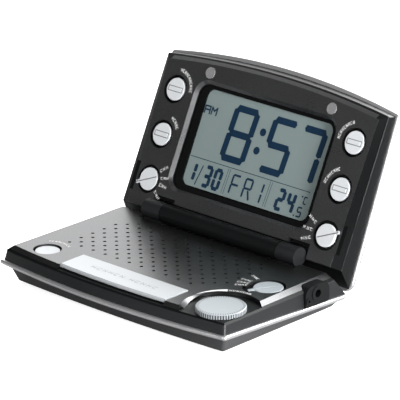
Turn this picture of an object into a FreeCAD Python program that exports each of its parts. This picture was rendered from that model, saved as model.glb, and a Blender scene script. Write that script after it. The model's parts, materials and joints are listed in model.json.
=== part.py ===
import FreeCAD, Part
import math
import os
import re
import Sketcher
from FreeCAD import Vector

# Fold-out travel alarm clock with a radio.
# Both halves are drawn lying open side up: x across, -y towards the free edge, z out of the plate,
# with the origin on the hinge axis. The base is lifted to the hinge height, and the lid is the same
# frame turned over about the hinge, so the lid's own x runs against the row's x.

DIMENSIONS = {
    # gaps and overlaps shared by many pieces: play between loose parts, reach of a cutting solid past a face
    "play": 0.1, "over": 0.5,
    # hinge
    "hinge_y": 14.87, "hinge_z": 20.4, "open_angle": 116, "hinge_gap": 3.2,
    "barrel_radius": 4.3, "barrel_half": 34.3, "knuckle_start": 34.6, "knuckle_end": 45.3,
    "lug_front": 2.4, "lug_back": 1.4, "pin_radius": 1.5, "pin_bore": 1.55, "pin_start": 17, "pin_end": 41,
    "spring_outer": 3.3, "spring_inner": 1.6, "spring_length": 6, "barrel_bore": 3.3, "barrel_cavity": 25,
    # cable through the barrel
    "cable_bore": 0.9, "cable_drop_bore": 1.05, "cable_radius": 0.7, "cable_bend": 1.6, "cable_turn": 43.4,
    "cable_fall": 9, "cable_end": 10.5, "lid_cable_turn": 12,
    # plate on the open side of each half, with its sloping edge
    "plate_front_half": 62, "plate_back_half": 60.3, "plate_front": 66.5, "plate_bow": 4.1, "plate_back": 0.01,
    "skirt_front_half": 64.9, "skirt_back_half": 65, "skirt_front": 69, "skirt_bow": 4.1, "skirt_back": 0.3,
    "plate_drop": 2.35, "plate_floor": 0.6, "hinge_notch_half": 46.2, "hinge_notch": 4.9, "face_notch": 6.7,
    "notch_gap": 0.8,
    # case frame between the plate and the trim ring
    "frame_half": 65.6, "frame_front": 70, "frame_bow": 5, "frame_back": 7,
    "frame_wall": 2, "frame_roof": 1.3, "frame_ledge": 4.5, "frame_edge": 0.35,
    # trim ring on the tilted parting plane
    "ring_half": 67, "ring_front": 71.2, "ring_bow": 5.8, "ring_back": 8.4, "ring_thick": 1.95,
    "ring_width": 4.6, "ring_round": 0.8, "part_drop": 14.3, "part_tilt": 2.9,
    "front_corner": 1.5, "back_corner": 4.5,
    # outer shell
    "shell_half": 64.4, "shell_front": 68.4, "shell_bow": 4.4, "shell_back": 6,
    "floor_half": 61, "floor_front": 65.8, "floor_bow": 1.6, "floor_back": 2.5,
    "floor_drop": 19.7, "shell_wall": 1.8, "floor_wall": 1.6, "floor_round": 1.2,
    # screws and their bosses
    "boss_x": 56, "boss_back": 9.5, "boss_front": 50, "boss_right_back": 4.2, "boss_right_front": 44,
    "boss_radius": 2.6, "boss_top": 7.2, "screw_head": 2, "screw_head_depth": 1.2, "screw_shank": 1,
    "screw_hole": 1.1, "screw_length": 10.5, "screw_room": 0.25, "drive_half": 1.4, "drive_wide": 0.6,
    # speaker and its holes
    "hole_radius": 0.78, "hole_step": 3.63, "hole_left": 46.8, "hole_front": 47.8, "hole_columns": 24,
    "hole_rows": 11, "hole_cut_back": 8, "hole_cut_front": 20,
    "speaker_x": 0.5, "speaker_y": 29.5, "speaker_radius": 17, "speaker_depth": 4.2,
    "speaker_rim": 1.6, "speaker_floor": 0.8, "magnet_radius": 8, "magnet_depth": 3,
    "cone_wall": 0.5, "cone_throat": 4.5, "cone_lift": 1.2, "cone_clearance": 1.4, "cone_height": 2.6,
    # snooze bar
    "snooze_half": 31, "snooze_back": 55.1, "snooze_proud": 0.35, "snooze_thick": 1.4, "snooze_slot": 1.7,
    "snooze_gap": 0.5, "snooze_edge": 0.75, "snooze_stem": 1.6, "snooze_stem_x": 22, "snooze_stem_y": 61,
    "snooze_travel": 0.6,
    # alarm button
    "alarm_x": 48, "alarm_y": 60.2, "alarm_radius": 5.5, "alarm_ring": 6.3, "alarm_sink": 0.6,
    "alarm_thick": 0.95, "alarm_travel": 0.7, "stem_radius": 1.4, "stem_hole": 1.9, "stem_root": 0.4,
    "disc_edge": 0.3,
    # volume dial and band selector
    "dial_x": 53.6, "dial_y": 58.9, "dial_radius": 10.9, "dial_proud": 0.6, "dial_clearance": 0.2,
    "dial_recess": 17.6, "dial_knurls": 60, "dial_knurl_depth": 0.35, "dial_knurl_out": 0.12, "dial_edge": 0.4,
    "pot_radius": 6, "pot_height": 2.6, "shaft_radius": 1.5, "shaft_hole": 1.55, "shaft_root": 0.8,
    "band_x": 52.9, "band_y": 28.4, "band_radius": 6.5, "band_recess": 7.7, "band_fan": 11.4,
    "fan_first": 206, "fan_last": 262, "band_angle": -118, "band_tab": 9.2,
    "knob_thick": 1.15, "knob_sink": 0.25, "knob_line": 0.45, "knob_line_depth": 0.35, "knob_line_start": 0.75,
    "tab_half": 0.7, "tab_thick": 0.6, "switch_half": 4.5, "switch_height": 2.4,
    # lid controls
    "lid_button_x": 52.8, "lid_button_far": 54.1, "lid_button_near": 33.1, "lid_button_radius": 5.16,
    "lid_button_ring": 6.5, "lid_button_travel": 0.8, "lid_button_sink": 0.1, "lid_button_thick": 1.35,
    "rib_long": 3.6, "rib_half": 0.75, "rib_proud": 0.3,
    "lid_knob_x": 52.6, "lid_knob_y": 12.3, "lid_knob_radius": 5.16, "lid_knob_ring": 6.6, "lid_tab": 7.1,
    "channel_drop": 1, "mode_tilt": 24, "zone_tilt": 24,
    "bumper_x": 35.8, "bumper_y": 65.4, "bumper_radius": 2.58, "bumper_proud": 0.4, "bumper_depth": 1.4,
    # display stack, measured down from the face
    "window_half": 40.3, "window_far": 60.6, "window_near": 11.9, "window_corner": 5.5, "window_bevel": 1.5,
    "glass_left": 35.8, "glass_right": 38.2, "glass_far": 58.9, "glass_near": 14.9, "glass_corner": 3.6,
    "glass_gap": 0.05, "lens_thick": 0.6, "lens_sink": 0.05, "bezel_thick": 0.8,
    "carrier_half": 55.6, "carrier_far": 61.5, "carrier_near": 5.2,
    "panel_thick": 1.6, "guide_thick": 2, "guide_margin": 1, "panel_margin": 2, "zebra_thick": 1.2,
    "zebra_margin": 0.3, "zebra_gap": 0.02, "lamp_radius": 1.2, "lamp_height": 3.2, "lamp_x": 16,
    # boards and what stands on them
    "board_drop": 9.2, "board_thick": 1.2, "tact_half": 3, "tact_height": 2, "board_left": 55,
    "board_right": 60, "board_front": 66, "board_back": 6, "lid_board_half": 58, "lid_board_far": 62,
    "lid_board_near": 7.5, "sensor_x": 40, "sensor_y": 10, "sensor_radius": 1.1, "sensor_long": 2.4,
    "crystal_x": 6, "crystal_y": 30, "crystal_radius": 1, "crystal_long": 6,
    # cells and door
    "cell_radius": 5.1, "cell_length": 44, "cell_pitch": 10.8, "cell_first_x": 46.5, "cell_y": 29,
    "cell_centre": 12.2, "cell_tip_radius": 1.9, "cell_tip": 1, "contact_thick": 0.4, "contact_half": 3.5,
    "contact_lift": 1, "bay_left": 53, "bay_right": 18.4, "bay_front": 53.6, "bay_back": 4.6, "bay_wall": 1.1,
    "bay_top": 9, "bay_step": 0.8, "door_thick": 1.4, "door_gap": 0.25, "door_travel": 3.5, "door_stop": 0.6,
    "ledge_gap": 0.15, "grip_margin": 12, "grip_first": 5, "grip_step": 2.4, "grip_wide": 0.8, "grip_count": 4,
    # feet
    "foot_half": 45, "foot_height": 0.7, "front_foot_a": 64, "front_foot_b": 57, "rear_foot_a": 3.8,
    "rear_foot_b": 0.4,
    # earphone jack
    "jack_y": 12, "jack_half": 7.6, "jack_top": 3.5, "jack_bottom": 12.6, "jack_outer": 66.4,
    "jack_inner": 61.5, "jack_round": 4, "jack_z": 7.5, "jack_ring": 3.5, "jack_bore": 1.8, "jack_proud": 0.3,
    "jack_body_inner": 50, "jack_body_half": 3.6, "jack_body_top": 1.9, "jack_room": 0.2, "socket_end": 1.5,
    "sleeve_gap": 0.01, "reset_y": 17.6, "reset_z": 9.7, "reset_ring": 1.6, "reset_bore": 0.6,
    # antenna
    "antenna_radius": 2.5, "antenna_half": 17, "antenna_y": 6.6, "antenna_z": 12.6, "coil_radius": 3.1,
    "coil_half": 7,
}

doc = FreeCAD.newDocument("travel_alarm_clock")
spec = doc.addObject("Spreadsheet::Sheet", "Spec")
for row, (alias, size) in enumerate(DIMENSIONS.items(), start=1):
    spec.set(f"A{row}", alias)
    spec.set(f"B{row}", str(size))
    spec.setAlias(f"B{row}", alias)
doc.recompute()

HINGE = "vector(0; hinge_y; hinge_z)"
BASE = f"placement({HINGE}; rotation(vector(0; 0; 1); 0))"
LID = f"placement({HINGE}; rotation(vector(0; cos(open_angle / 2); -sin(open_angle / 2)); 180))"
nodes = {}


def cells(text):
    """Turns dimension names into references to the sheet."""
    return re.sub(r"[a-z_]+", lambda m: "Spec." + m.group() if m.group() in DIMENSIONS else m.group(), str(text))


def size_of(text):
    """Value of an expression of dimension names, in millimetres."""
    return float(spec.evalExpression(cells(text)))


# --- placed solids and booleans -------------------------------------------------------------------

TURNS = {"x": "rotation(vector(0; 1; 0); 90)", "y": "rotation(vector(1; 0; 0); -90)",
         "z": "rotation(vector(0; 0; 1); 0)"}
TINY = 1e-6


def primitive(kind, half, corner, turn, sizes):
    solid = doc.addObject(kind, kind.split("::")[1].lower())
    for size_name, text in sizes.items():
        solid.setExpression(size_name, cells(text))
    x, y, z = corner
    solid.setExpression("Placement", cells(f"{half} * placement(vector({x}; {y}; {z}); {turn})"))
    return solid


def box(half, low, size):
    return primitive("Part::Box", half, low, TURNS["z"], dict(zip(("Length", "Width", "Height"), size)))


def slab(half, x, y, z):
    """Box between two limits on each axis."""
    size = [f"({high}) - ({low})" for low, high in (x, y, z)]
    return box(half, (x[0], y[0], z[0]), size)


def around(middle, reach):
    """The two limits that lie the same reach either side of a middle."""
    return f"{middle} - ({reach})", f"{middle} + {reach}"


def rod(half, start, radius, length, axis="z"):
    return primitive("Part::Cylinder", half, start, TURNS[axis], {"Radius": radius, "Height": length})


def cone(half, start, radius_low, radius_high, height):
    sizes = {"Radius1": radius_low, "Radius2": radius_high, "Height": height}
    return primitive("Part::Cone", half, start, TURNS["z"], sizes)


def join(*solids):
    fused = doc.addObject("Part::MultiFuse", "joined")
    fused.Shapes = list(solids)
    return fused


def cut(base, *tools):
    result = doc.addObject("Part::Cut", "cut_piece")
    result.Base = base
    result.Tool = tools[0] if len(tools) == 1 else join(*tools)
    return result


def group(*solids):
    gathered = doc.addObject("Part::Compound", "group")
    gathered.Links = list(solids)
    return gathered


def shaped(shape, half, name="shaped"):
    """A piece whose shape is worked out from the sheet with Part's own functions."""
    piece = doc.addObject("Part::Feature", name)
    piece.Shape = shape
    piece.setExpression("Placement", cells(half))
    return piece


def node(label, piece):
    piece.Label = label
    nodes[label] = piece
    return piece


# --- bodies drawn with sketches -------------------------------------------------------------------

def new_body(half, name):
    body = doc.addObject("PartDesign::Body", name)
    body.setExpression("Placement", cells(half))
    return body


def new_sketch(body, level, tilt="0"):
    sketch = body.newObject("Sketcher::SketchObject", "sketch")
    plane = next(f for f in body.Origin.OriginFeatures if f.Role == "XY_Plane")
    sketch.AttachmentSupport = [(plane, "")]
    sketch.MapMode = "FlatFace"
    offset = f"placement(vector(0; 0; {level}); rotation(vector(1; 0; 0); {tilt}))"
    sketch.setExpression("AttachmentOffset", cells(offset))
    return sketch


def bind(sketch, kind, places, text):
    """Adds one constraint whose size follows the sheet."""
    index = sketch.addConstraint(Sketcher.Constraint(kind, *places, abs(size_of(text))))
    sketch.setExpression(f"Constraints[{index}]", cells(text))


def pin_point(sketch, geo, end, x, y):
    """Ties a point of the sketch to the origin by its two coordinates."""
    for kind, text, axis in (("DistanceX", x, -2), ("DistanceY", y, -1)):
        here = size_of(text)
        if abs(here) < TINY:
            sketch.addConstraint(Sketcher.Constraint("PointOnObject", geo, end, axis))
        elif here > 0:
            bind(sketch, kind, (-1, 1, geo, end), text)
        else:
            bind(sketch, kind, (geo, end, -1, 1), f"-({text})")


def line(sketch, start, end):
    return sketch.addGeometry(Part.LineSegment(Vector(*start, 0), Vector(*end, 0)), False)


def polygon(sketch, corners):
    """Closed run of straight lines, each corner bound to the sheet."""
    spots = [(size_of(x), size_of(y)) for x, y in corners]
    sides = [line(sketch, a, b) for a, b in zip(spots, spots[1:] + spots[:1])]
    for side, following in zip(sides, sides[1:] + sides[:1]):
        sketch.addConstraint(Sketcher.Constraint("Coincident", side, 2, following, 1))
    for side, (x, y) in zip(sides, corners):
        pin_point(sketch, side, 1, x, y)


def rectangle(sketch, x, y):
    polygon(sketch, [(x[0], y[0]), (x[1], y[0]), (x[1], y[1]), (x[0], y[1])])


def circle(sketch, x, y, radius):
    geo = sketch.addGeometry(Part.Circle(Vector(size_of(x), size_of(y), 0), Vector(0, 0, 1), size_of(radius)), False)
    bind(sketch, "Radius", (geo,), radius)
    pin_point(sketch, geo, 3, x, y)


def bowed(sketch, half_front, half_back, front, bow, back, reach=None):
    """Trapezoid with straight sides and a free edge that bows outwards; reach is where the arc's radius comes from."""
    reach = reach or half_front
    wide, narrow, near, far = (size_of(t) for t in (half_front, half_back, front, back))
    radius_text = f"(({reach}) * ({reach}) + ({bow}) * ({bow})) / (2 * ({bow}))"
    radius = size_of(radius_text)
    middle = Vector(0, -near + math.sqrt(radius ** 2 - wide ** 2), 0)
    angle = math.asin(wide / radius)
    ring = Part.Circle(middle, Vector(0, 0, 1), radius)
    arc = sketch.addGeometry(Part.ArcOfCircle(ring, -math.pi / 2 - angle, -math.pi / 2 + angle), False)
    right = line(sketch, (wide, -near), (narrow, far))
    rear = line(sketch, (narrow, far), (-narrow, far))
    left = line(sketch, (-narrow, far), (-wide, -near))
    for a, a_end, b, b_end in ((arc, 2, right, 1), (right, 2, rear, 1), (rear, 2, left, 1), (left, 2, arc, 1)):
        sketch.addConstraint(Sketcher.Constraint("Coincident", a, a_end, b, b_end))
    pin_point(sketch, right, 1, half_front, f"-({front})")
    pin_point(sketch, left, 2, f"-({half_front})", f"-({front})")
    pin_point(sketch, rear, 1, half_back, back)
    pin_point(sketch, rear, 2, f"-({half_back})", back)
    bind(sketch, "Radius", (arc,), radius_text)


def outline(sketch, prefix, inset="0"):
    """One of the case outlines of the sheet, drawn in by an inset all round."""
    half_front = f"{prefix}_front_half" if f"{prefix}_front_half" in DIMENSIONS else f"{prefix}_half"
    half_back = f"{prefix}_back_half" if f"{prefix}_back_half" in DIMENSIONS else f"{prefix}_half"
    bowed(sketch, f"{half_front} - {inset}", f"{half_back} - {inset}", f"{prefix}_front - {inset}",
          f"{prefix}_bow", f"{prefix}_back - {inset}", reach=half_front)


def feature(body, kind, sketch, **sizes):
    made = body.newObject(f"PartDesign::{kind}", kind.lower())
    made.Profile = sketch
    for size_name, text in sizes.items():
        made.setExpression(size_name, cells(text))
    sketch.Visibility = False
    return made


def pad(body, sketch, length, down=False):
    made = feature(body, "Pad", sketch, Length=length)
    made.Reversed = down
    doc.recompute()
    return made


def pocket(body, sketch, depth, up=False):
    before = body.Shape.Volume
    made = feature(body, "Pocket", sketch, Length=depth)
    made.Reversed = up
    doc.recompute()
    if body.Shape.Volume > before - TINY:
        raise RuntimeError(f"{body.Name}: a pocket cuts nothing")
    return made


def loft(body, first, second, hollow=False):
    made = feature(body, "SubtractiveLoft" if hollow else "AdditiveLoft", first)
    made.Sections = [second]
    made.Ruled = True
    doc.recompute()
    return made


def edges_where(body, test):
    """Names of the body's edges whose middle point passes the test, in the half's own frame."""
    shape = body.Tip.Shape
    names = []
    for index, edge in enumerate(shape.Edges, start=1):
        spot = edge.valueAt((edge.FirstParameter + edge.LastParameter) / 2)
        if test(edge, spot):
            names.append(f"Edge{index}")
    return names


def dress(body, kind, size_name, text, test):
    tip = body.Tip
    names = edges_where(body, test)
    made = body.newObject(f"PartDesign::{kind}", kind.lower())
    made.Base = (tip, names)
    made.setExpression(size_name, cells(text))
    doc.recompute()
    return made


def round_edges(body, radius, test):
    return dress(body, "Fillet", "Radius", radius, test)


def bevel_edges(body, size, test):
    return dress(body, "Chamfer", "Size", size, test)


def upright(edge, spot):
    """True for an edge that runs mostly up and down."""
    ends = [v.Point for v in edge.Vertexes]
    if len(ends) < 2:
        return False
    run = ends[1] - ends[0]
    return abs(run.z) > 0.6 * run.Length and run.Length > 0.5


# --- levels of each half, measured from the hinge axis --------------------------------------------

PLATE_TOP = "-hinge_gap"
PLATE_LOW = "(-hinge_gap - plate_drop)"
FLOOR = "-floor_drop"
BOARD = "(-hinge_gap - board_drop)"
UPPER_PART = "(-part_drop + ring_thick / 2)"
LOWER_PART = "(-part_drop - ring_thick / 2)"


NEAR = 0.05
MIDWAY = -size_of("plate_front") / 2


def front_upright(edge, spot):
    return upright(edge, spot) and spot.y < MIDWAY


def back_upright(edge, spot):
    return upright(edge, spot) and spot.y > MIDWAY and abs(spot.x) > size_of("barrel_half")


def at_level(spot, level):
    return abs(spot.z - size_of(level)) < NEAR


# --- the two case halves --------------------------------------------------------------------------

def make_frame(half, name, lugs, clearances):
    """Case frame: slopes out from the plate to the trim ring and carries this half's part of the hinge."""
    body = new_body(half, name + "_body")
    top = new_sketch(body, PLATE_LOW)
    outline(top, "skirt")
    low = new_sketch(body, UPPER_PART, "-part_tilt")
    outline(low, "frame")
    loft(body, top, low)
    round_edges(body, "front_corner", front_upright)
    round_edges(body, "frame_edge", lambda e, p: at_level(p, PLATE_LOW) and p.y < -NEAR)
    inner_top = new_sketch(body, f"{PLATE_LOW} - frame_roof")
    outline(inner_top, "skirt", "frame_wall")
    inner_low = new_sketch(body, UPPER_PART, "-part_tilt")
    outline(inner_low, "frame", "frame_wall")
    loft(body, inner_top, inner_low, hollow=True)
    opening = new_sketch(body, PLATE_LOW)
    outline(opening, "plate", "frame_ledge")
    pocket(body, opening, "frame_roof + over")
    return node(name, cut(join(body, *lugs), *clearances))


def make_ring(half, name):
    """Bead of bright trim that stands proud all round the parting line."""
    body = new_body(half, name + "_body")
    outer = new_sketch(body, LOWER_PART, "-part_tilt")
    outline(outer, "ring")
    pad(body, outer, "ring_thick * cos(part_tilt)")
    round_edges(body, "front_corner", front_upright)
    round_edges(body, "back_corner", back_upright)
    round_edges(body, "ring_round", lambda e, p: not upright(e, p))
    hole = new_sketch(body, LOWER_PART, "-part_tilt")
    outline(hole, "ring", "ring_width")
    pocket(body, hole, "ring_thick", up=True)
    return node(name, body)


def make_shell(half, name, bosses, additions=(), cuts=()):
    """Outer shell: a shallow tray whose walls slope in to the flat underside."""
    body = new_body(half, name + "_body")
    top = new_sketch(body, LOWER_PART, "-part_tilt")
    outline(top, "shell")
    low = new_sketch(body, FLOOR)
    outline(low, "floor")
    loft(body, top, low)
    round_edges(body, "front_corner", front_upright)
    round_edges(body, "floor_round", lambda e, p: at_level(p, FLOOR))
    inner_top = new_sketch(body, LOWER_PART, "-part_tilt")
    outline(inner_top, "shell", "shell_wall")
    inner_low = new_sketch(body, f"{FLOOR} + floor_wall")
    outline(inner_low, "floor", "shell_wall")
    loft(body, inner_top, inner_low, hollow=True)
    posts = [rod(half, (x, y, f"{FLOOR} + floor_wall / 2"), "boss_radius", "floor_drop - boss_top - floor_wall / 2")
             for x, y in bosses]
    drills = [rod(half, (x, y, FLOOR), "screw_hole", "screw_length + screw_head_depth + screw_room")
              for x, y in bosses]
    heads = [rod(half, (x, y, f"{FLOOR} - over"), "screw_head + screw_room", "screw_head_depth + over + play")
             for x, y in bosses]
    return node(name, cut(join(body, *posts, *additions), *drills, *heads, *cuts))


def make_screws(half, name, bosses):
    """Case screws: a countersunk head in the boss and a shank up its middle."""
    screws = []
    for x, y in bosses:
        head = rod(half, (x, y, FLOOR), "screw_head", "screw_head_depth")
        shank = rod(half, (x, y, f"{FLOOR} + screw_head_depth / 2"), "screw_shank", "screw_length")
        drive = (FLOOR, f"{FLOOR} + screw_head_depth / 2")
        slot = slab(half, around(x, "drive_half"), around(y, "drive_wide / 2"), drive)
        cross = slab(half, around(x, "drive_wide / 2"), around(y, "drive_half"), drive)
        screws.append(cut(join(head, shank), slot, cross))
    return node(name, group(*screws))


BASE_BOSSES = [("-boss_x", "-boss_back"), ("-boss_x", "-boss_front"),
               ("boss_x", "-boss_right_back"), ("boss_x", "-boss_right_front")]
LID_BOSSES = [(side, far) for side in ("-boss_x", "boss_x") for far in ("-boss_right_back", "-boss_right_front")]


# --- plates ---------------------------------------------------------------------------------------

def make_plate(half, name):
    body = new_body(half, name + "_body")
    top = new_sketch(body, PLATE_TOP)
    outline(top, "plate")
    low = new_sketch(body, PLATE_LOW)
    outline(low, "skirt")
    loft(body, top, low)
    return body


def notch(body, x, front):
    sketch = new_sketch(body, PLATE_TOP)
    rectangle(sketch, x, (f"-({front})", "plate_back + 2 * over"))
    pocket(body, sketch, "plate_drop + play")


def round_recess(body, x, y, radius, deep):
    sketch = new_sketch(body, PLATE_TOP)
    circle(sketch, x, y, radius)
    pocket(body, sketch, deep)


def hole(body, x, y, radius):
    round_recess(body, x, y, radius, "plate_drop + play")


def polygon_recess(body, corners, deep):
    sketch = new_sketch(body, PLATE_TOP)
    polygon(sketch, corners)
    pocket(body, sketch, deep)


def sector_recess(body, x, y, radius, first, last, deep):
    """Pie-shaped recess between two directions."""
    sketch = new_sketch(body, PLATE_TOP)
    ends = [(f"{x} + {radius} * cos({turn})", f"{y} + {radius} * sin({turn})") for turn in (first, last)]
    centre, (a, b) = (size_of(x), size_of(y)), [(size_of(px), size_of(py)) for px, py in ends]
    start, stop = (math.radians(size_of(turn)) for turn in (first, last))
    ring = Part.Circle(Vector(*centre, 0), Vector(0, 0, 1), size_of(radius))
    arc = sketch.addGeometry(Part.ArcOfCircle(ring, start, stop), False)
    back, out = line(sketch, b, centre), line(sketch, centre, a)
    for one, one_end, other, other_end in ((arc, 2, back, 1), (back, 2, out, 1), (out, 2, arc, 1)):
        sketch.addConstraint(Sketcher.Constraint("Coincident", one, one_end, other, other_end))
    pin_point(sketch, back, 2, x, y)
    pin_point(sketch, out, 2, *ends[0])
    pin_point(sketch, back, 1, *ends[1])
    pocket(body, sketch, deep)


def grille_pins():
    """Rods that pierce the deck in a staggered field with two cut corners."""
    step = size_of("hole_step")
    left, front = size_of("-hole_left"), size_of("-hole_front")
    high, low = size_of("-hinge_gap + over"), size_of(f"{PLATE_LOW} - over")
    back_cut, front_cut = size_of("hole_cut_back * hole_step"), size_of("-hole_cut_front * hole_step")
    pins = []
    for column in range(int(size_of("hole_columns"))):
        for row in range(int(size_of("hole_rows"))):
            x, y = column * step, row * step
            if (column + row) % 2 == 0 and front_cut - NEAR <= y - x <= back_cut + NEAR:
                spot = Vector(left + x, front + y, low)
                pins.append(Part.makeCylinder(size_of("hole_radius"), high - low, spot))
    return shaped(Part.makeCompound(pins), BASE, "grille_pins")


def jack_block(growth):
    """Block with rounded shoulders that stands out of the right side round the earphone socket."""
    x = (f"jack_inner - {growth}", f"jack_outer + 2 * {growth}")
    shoulder = "jack_half - jack_round"
    shoulders = [rod(BASE, (x[0], f"-jack_y + {side} * ({shoulder})", "-jack_top - jack_round"),
                     f"jack_round + {growth}", f"({x[1]}) - ({x[0]})", "x") for side in (-1, 1)]
    crown = slab(BASE, x, (f"-jack_y - ({shoulder})", f"-jack_y + ({shoulder})"),
                 ("-jack_bottom", f"-jack_top + {growth}"))
    trunk = slab(BASE, x, (f"-jack_y - jack_half - {growth}", f"-jack_y + jack_half + {growth}"),
                 ("-jack_bottom", "-jack_top - jack_round"))
    return join(crown, trunk, *shoulders)


jack_room = slab(BASE, ("jack_body_inner - jack_room", "jack_inner + jack_room"),
                 around("-jack_y", "(jack_body_half + jack_room)"), ("-jack_z - jack_body_half", PLATE_LOW))
jack_hole = join(jack_block("play"), jack_room)
deck = make_plate(BASE, "deck_plate")
notch(deck, ("-hinge_notch_half", "hinge_notch_half"), "hinge_notch")
RECESS = "plate_drop - plate_floor"
round_recess(deck, "dial_x", "-dial_y", "dial_recess", RECESS)
hole(deck, "dial_x", "-dial_y", "shaft_hole")
round_recess(deck, "band_x", "-band_y", "band_recess", RECESS)
hole(deck, "band_x", "-band_y", "shaft_hole")
sector_recess(deck, "band_x", "-band_y", "band_fan", "fan_first", "fan_last", RECESS)
hole(deck, "-alarm_x", "-alarm_y", "alarm_ring")
SLOT_SIDE = "(snooze_half + snooze_gap)"
SLOT_BACK, SLOT_FRONT = "-snooze_back + snooze_gap", "-skirt_front - skirt_bow - 2 * over"
polygon_recess(deck, [(f"-{SLOT_SIDE}", SLOT_BACK), (f"-{SLOT_SIDE}", SLOT_FRONT), (SLOT_SIDE, SLOT_FRONT),
                      (SLOT_SIDE, SLOT_BACK)], "snooze_slot")
for side in ("-snooze_stem_x", "snooze_stem_x"):
    hole(deck, side, "-snooze_stem_y", "snooze_stem + stem_root")
node("deck_plate", cut(deck, grille_pins(), jack_hole))

face = make_plate(LID, "face_plate")
notch(face, around("0", "(barrel_half + notch_gap)"), "hinge_notch")
for x in (("-hinge_notch_half", "-knuckle_start + notch_gap"), ("knuckle_start - notch_gap", "hinge_notch_half")):
    notch(face, x, "face_notch")
window = new_sketch(face, PLATE_TOP)
rectangle(window, ("-window_half", "window_half"), ("-window_far", "-window_near"))
pocket(face, window, "plate_drop + play")


def on_window(spot):
    """True for a place on the edge of the window opening."""
    inside = abs(spot.x) < size_of("window_half") + NEAR
    return inside and size_of("-window_far") - NEAR < spot.y < size_of("-window_near") + NEAR


round_edges(face, "window_corner", lambda e, p: upright(e, p) and on_window(p))
bevel_edges(face, "window_bevel", lambda e, p: at_level(p, PLATE_TOP) and on_window(p))
LID_BUTTONS = {"year_button": ("lid_button_x", "-lid_button_far"),
               "format_button": ("lid_button_x", "-lid_button_near"),
               "month_button": ("-lid_button_x", "-lid_button_far"),
               "date_button": ("-lid_button_x", "-lid_button_near")}
LID_KNOBS = {"mode_selector": "lid_knob_x", "zone_selector": "-lid_knob_x"}
for x, y in LID_BUTTONS.values():
    hole(face, x, y, "lid_button_ring")
for x in LID_KNOBS.values():
    outwards = "-skirt_front_half - over" if x.startswith("-") else "skirt_front_half + over"
    round_recess(face, x, "-lid_knob_y", "lid_knob_ring", RECESS)
    hole(face, x, "-lid_knob_y", "shaft_hole")
    channel = new_sketch(face, PLATE_TOP)
    limits = (outwards, x) if x.startswith("-") else (x, outwards)
    rectangle(channel, limits, around("-lid_knob_y", "lid_knob_ring"))
    pocket(face, channel, "channel_drop")
for x in ("-bumper_x", "bumper_x"):
    round_recess(face, x, "-bumper_y", "bumper_radius", "bumper_depth")
node("face_plate", face)

# --- case frames with the hinge -------------------------------------------------------------------

LUG_Y = ("-lug_front", "lug_back")
LUG_Z = (f"{PLATE_LOW} - frame_roof", "0")


def knuckle(low, high):
    barrel = rod(BASE, (low, "0", "0"), "barrel_radius", f"({high}) - ({low})", "x")
    return [barrel, slab(BASE, (low, high), LUG_Y, LUG_Z)]


knuckles = knuckle("knuckle_start", "knuckle_end") + knuckle("-knuckle_end", "-knuckle_start")
pin_holes = [rod(BASE, (start, "0", "0"), "pin_radius", "pin_end - knuckle_start + over", "x")
             for start in ("knuckle_start - over", "-pin_end")]
cable_way = [rod(BASE, ("-cable_turn", "0", "-cable_fall"), "cable_drop_bore", "cable_fall", "z"),
             rod(BASE, ("-cable_turn - cable_bore", "0", "0"), "cable_bore",
                 "cable_turn - pin_end + 2 * cable_bore", "x")]
make_frame(BASE, "base_upper_case", knuckles, pin_holes + cable_way + [jack_hole])

barrel = [rod(LID, ("-barrel_half", "0", "0"), "barrel_radius", "2 * barrel_half", "x"),
          slab(LID, ("-barrel_half", "barrel_half"), LUG_Y, LUG_Z)]
barrel_ways = [rod(LID, ("-barrel_half - over", "0", "0"), "pin_bore", "2 * (barrel_half + over)", "x"),
               rod(LID, ("-barrel_cavity", "0", "0"), "barrel_bore", "2 * barrel_cavity", "x"),
               rod(LID, ("lid_cable_turn", "0", "-cable_fall"), "cable_bore", "cable_fall", "z")]
make_frame(LID, "lid_frame", barrel, barrel_ways)

pins = []
for start in ("pin_start", "-pin_end"):
    solid = rod(BASE, (start, "0", "0"), "pin_radius", "pin_end - pin_start", "x")
    way = rod(BASE, (f"{start} - over", "0", "0"), "cable_bore", "pin_end - pin_start + 2 * over", "x")
    pins.append(cut(solid, way))
node("hinge_pins", group(*pins))
spring = rod(LID, ("pin_start + over", "0", "0"), "spring_outer", "spring_length", "x")
spring_hole = rod(LID, ("pin_start", "0", "0"), "spring_inner", "spring_length + 2 * over", "x")
node("friction_spring", cut(spring, spring_hole))


def cable(half, start_x, turn_x, fall):
    """Wire bundle that runs along the hinge axis and turns down into the case."""
    bend = size_of("cable_bend")
    start, turn, low = size_of(start_x), size_of(turn_x), -size_of(fall)
    way = 1 if turn > start else -1
    first = Vector(turn - way * bend, 0, 0)
    last = Vector(turn, 0, -bend)
    middle = Vector(turn - way * bend * (1 - math.sin(math.pi / 4)), 0, -bend * (1 - math.cos(math.pi / 4)))
    path = Part.Wire([Part.LineSegment(Vector(start, 0, 0), first).toShape(), Part.Arc(first, middle, last).toShape(),
                      Part.LineSegment(last, Vector(turn, 0, low)).toShape()])
    ring = Part.Wire([Part.Circle(Vector(start, 0, 0), Vector(1, 0, 0), size_of("cable_radius")).toShape()])
    return shaped(path.makePipeShell([ring], True, False), half, "cable")


node("base_cable", cable(BASE, "-pin_start + over", "-cable_turn", "cable_end"))
node("lid_cable", cable(LID, "pin_start - over - play", "lid_cable_turn", "cable_end"))

# --- rings, shells, screws and feet ---------------------------------------------------------------

make_ring(BASE, "base_trim_ring")
make_ring(LID, "lid_trim_ring")

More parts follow.
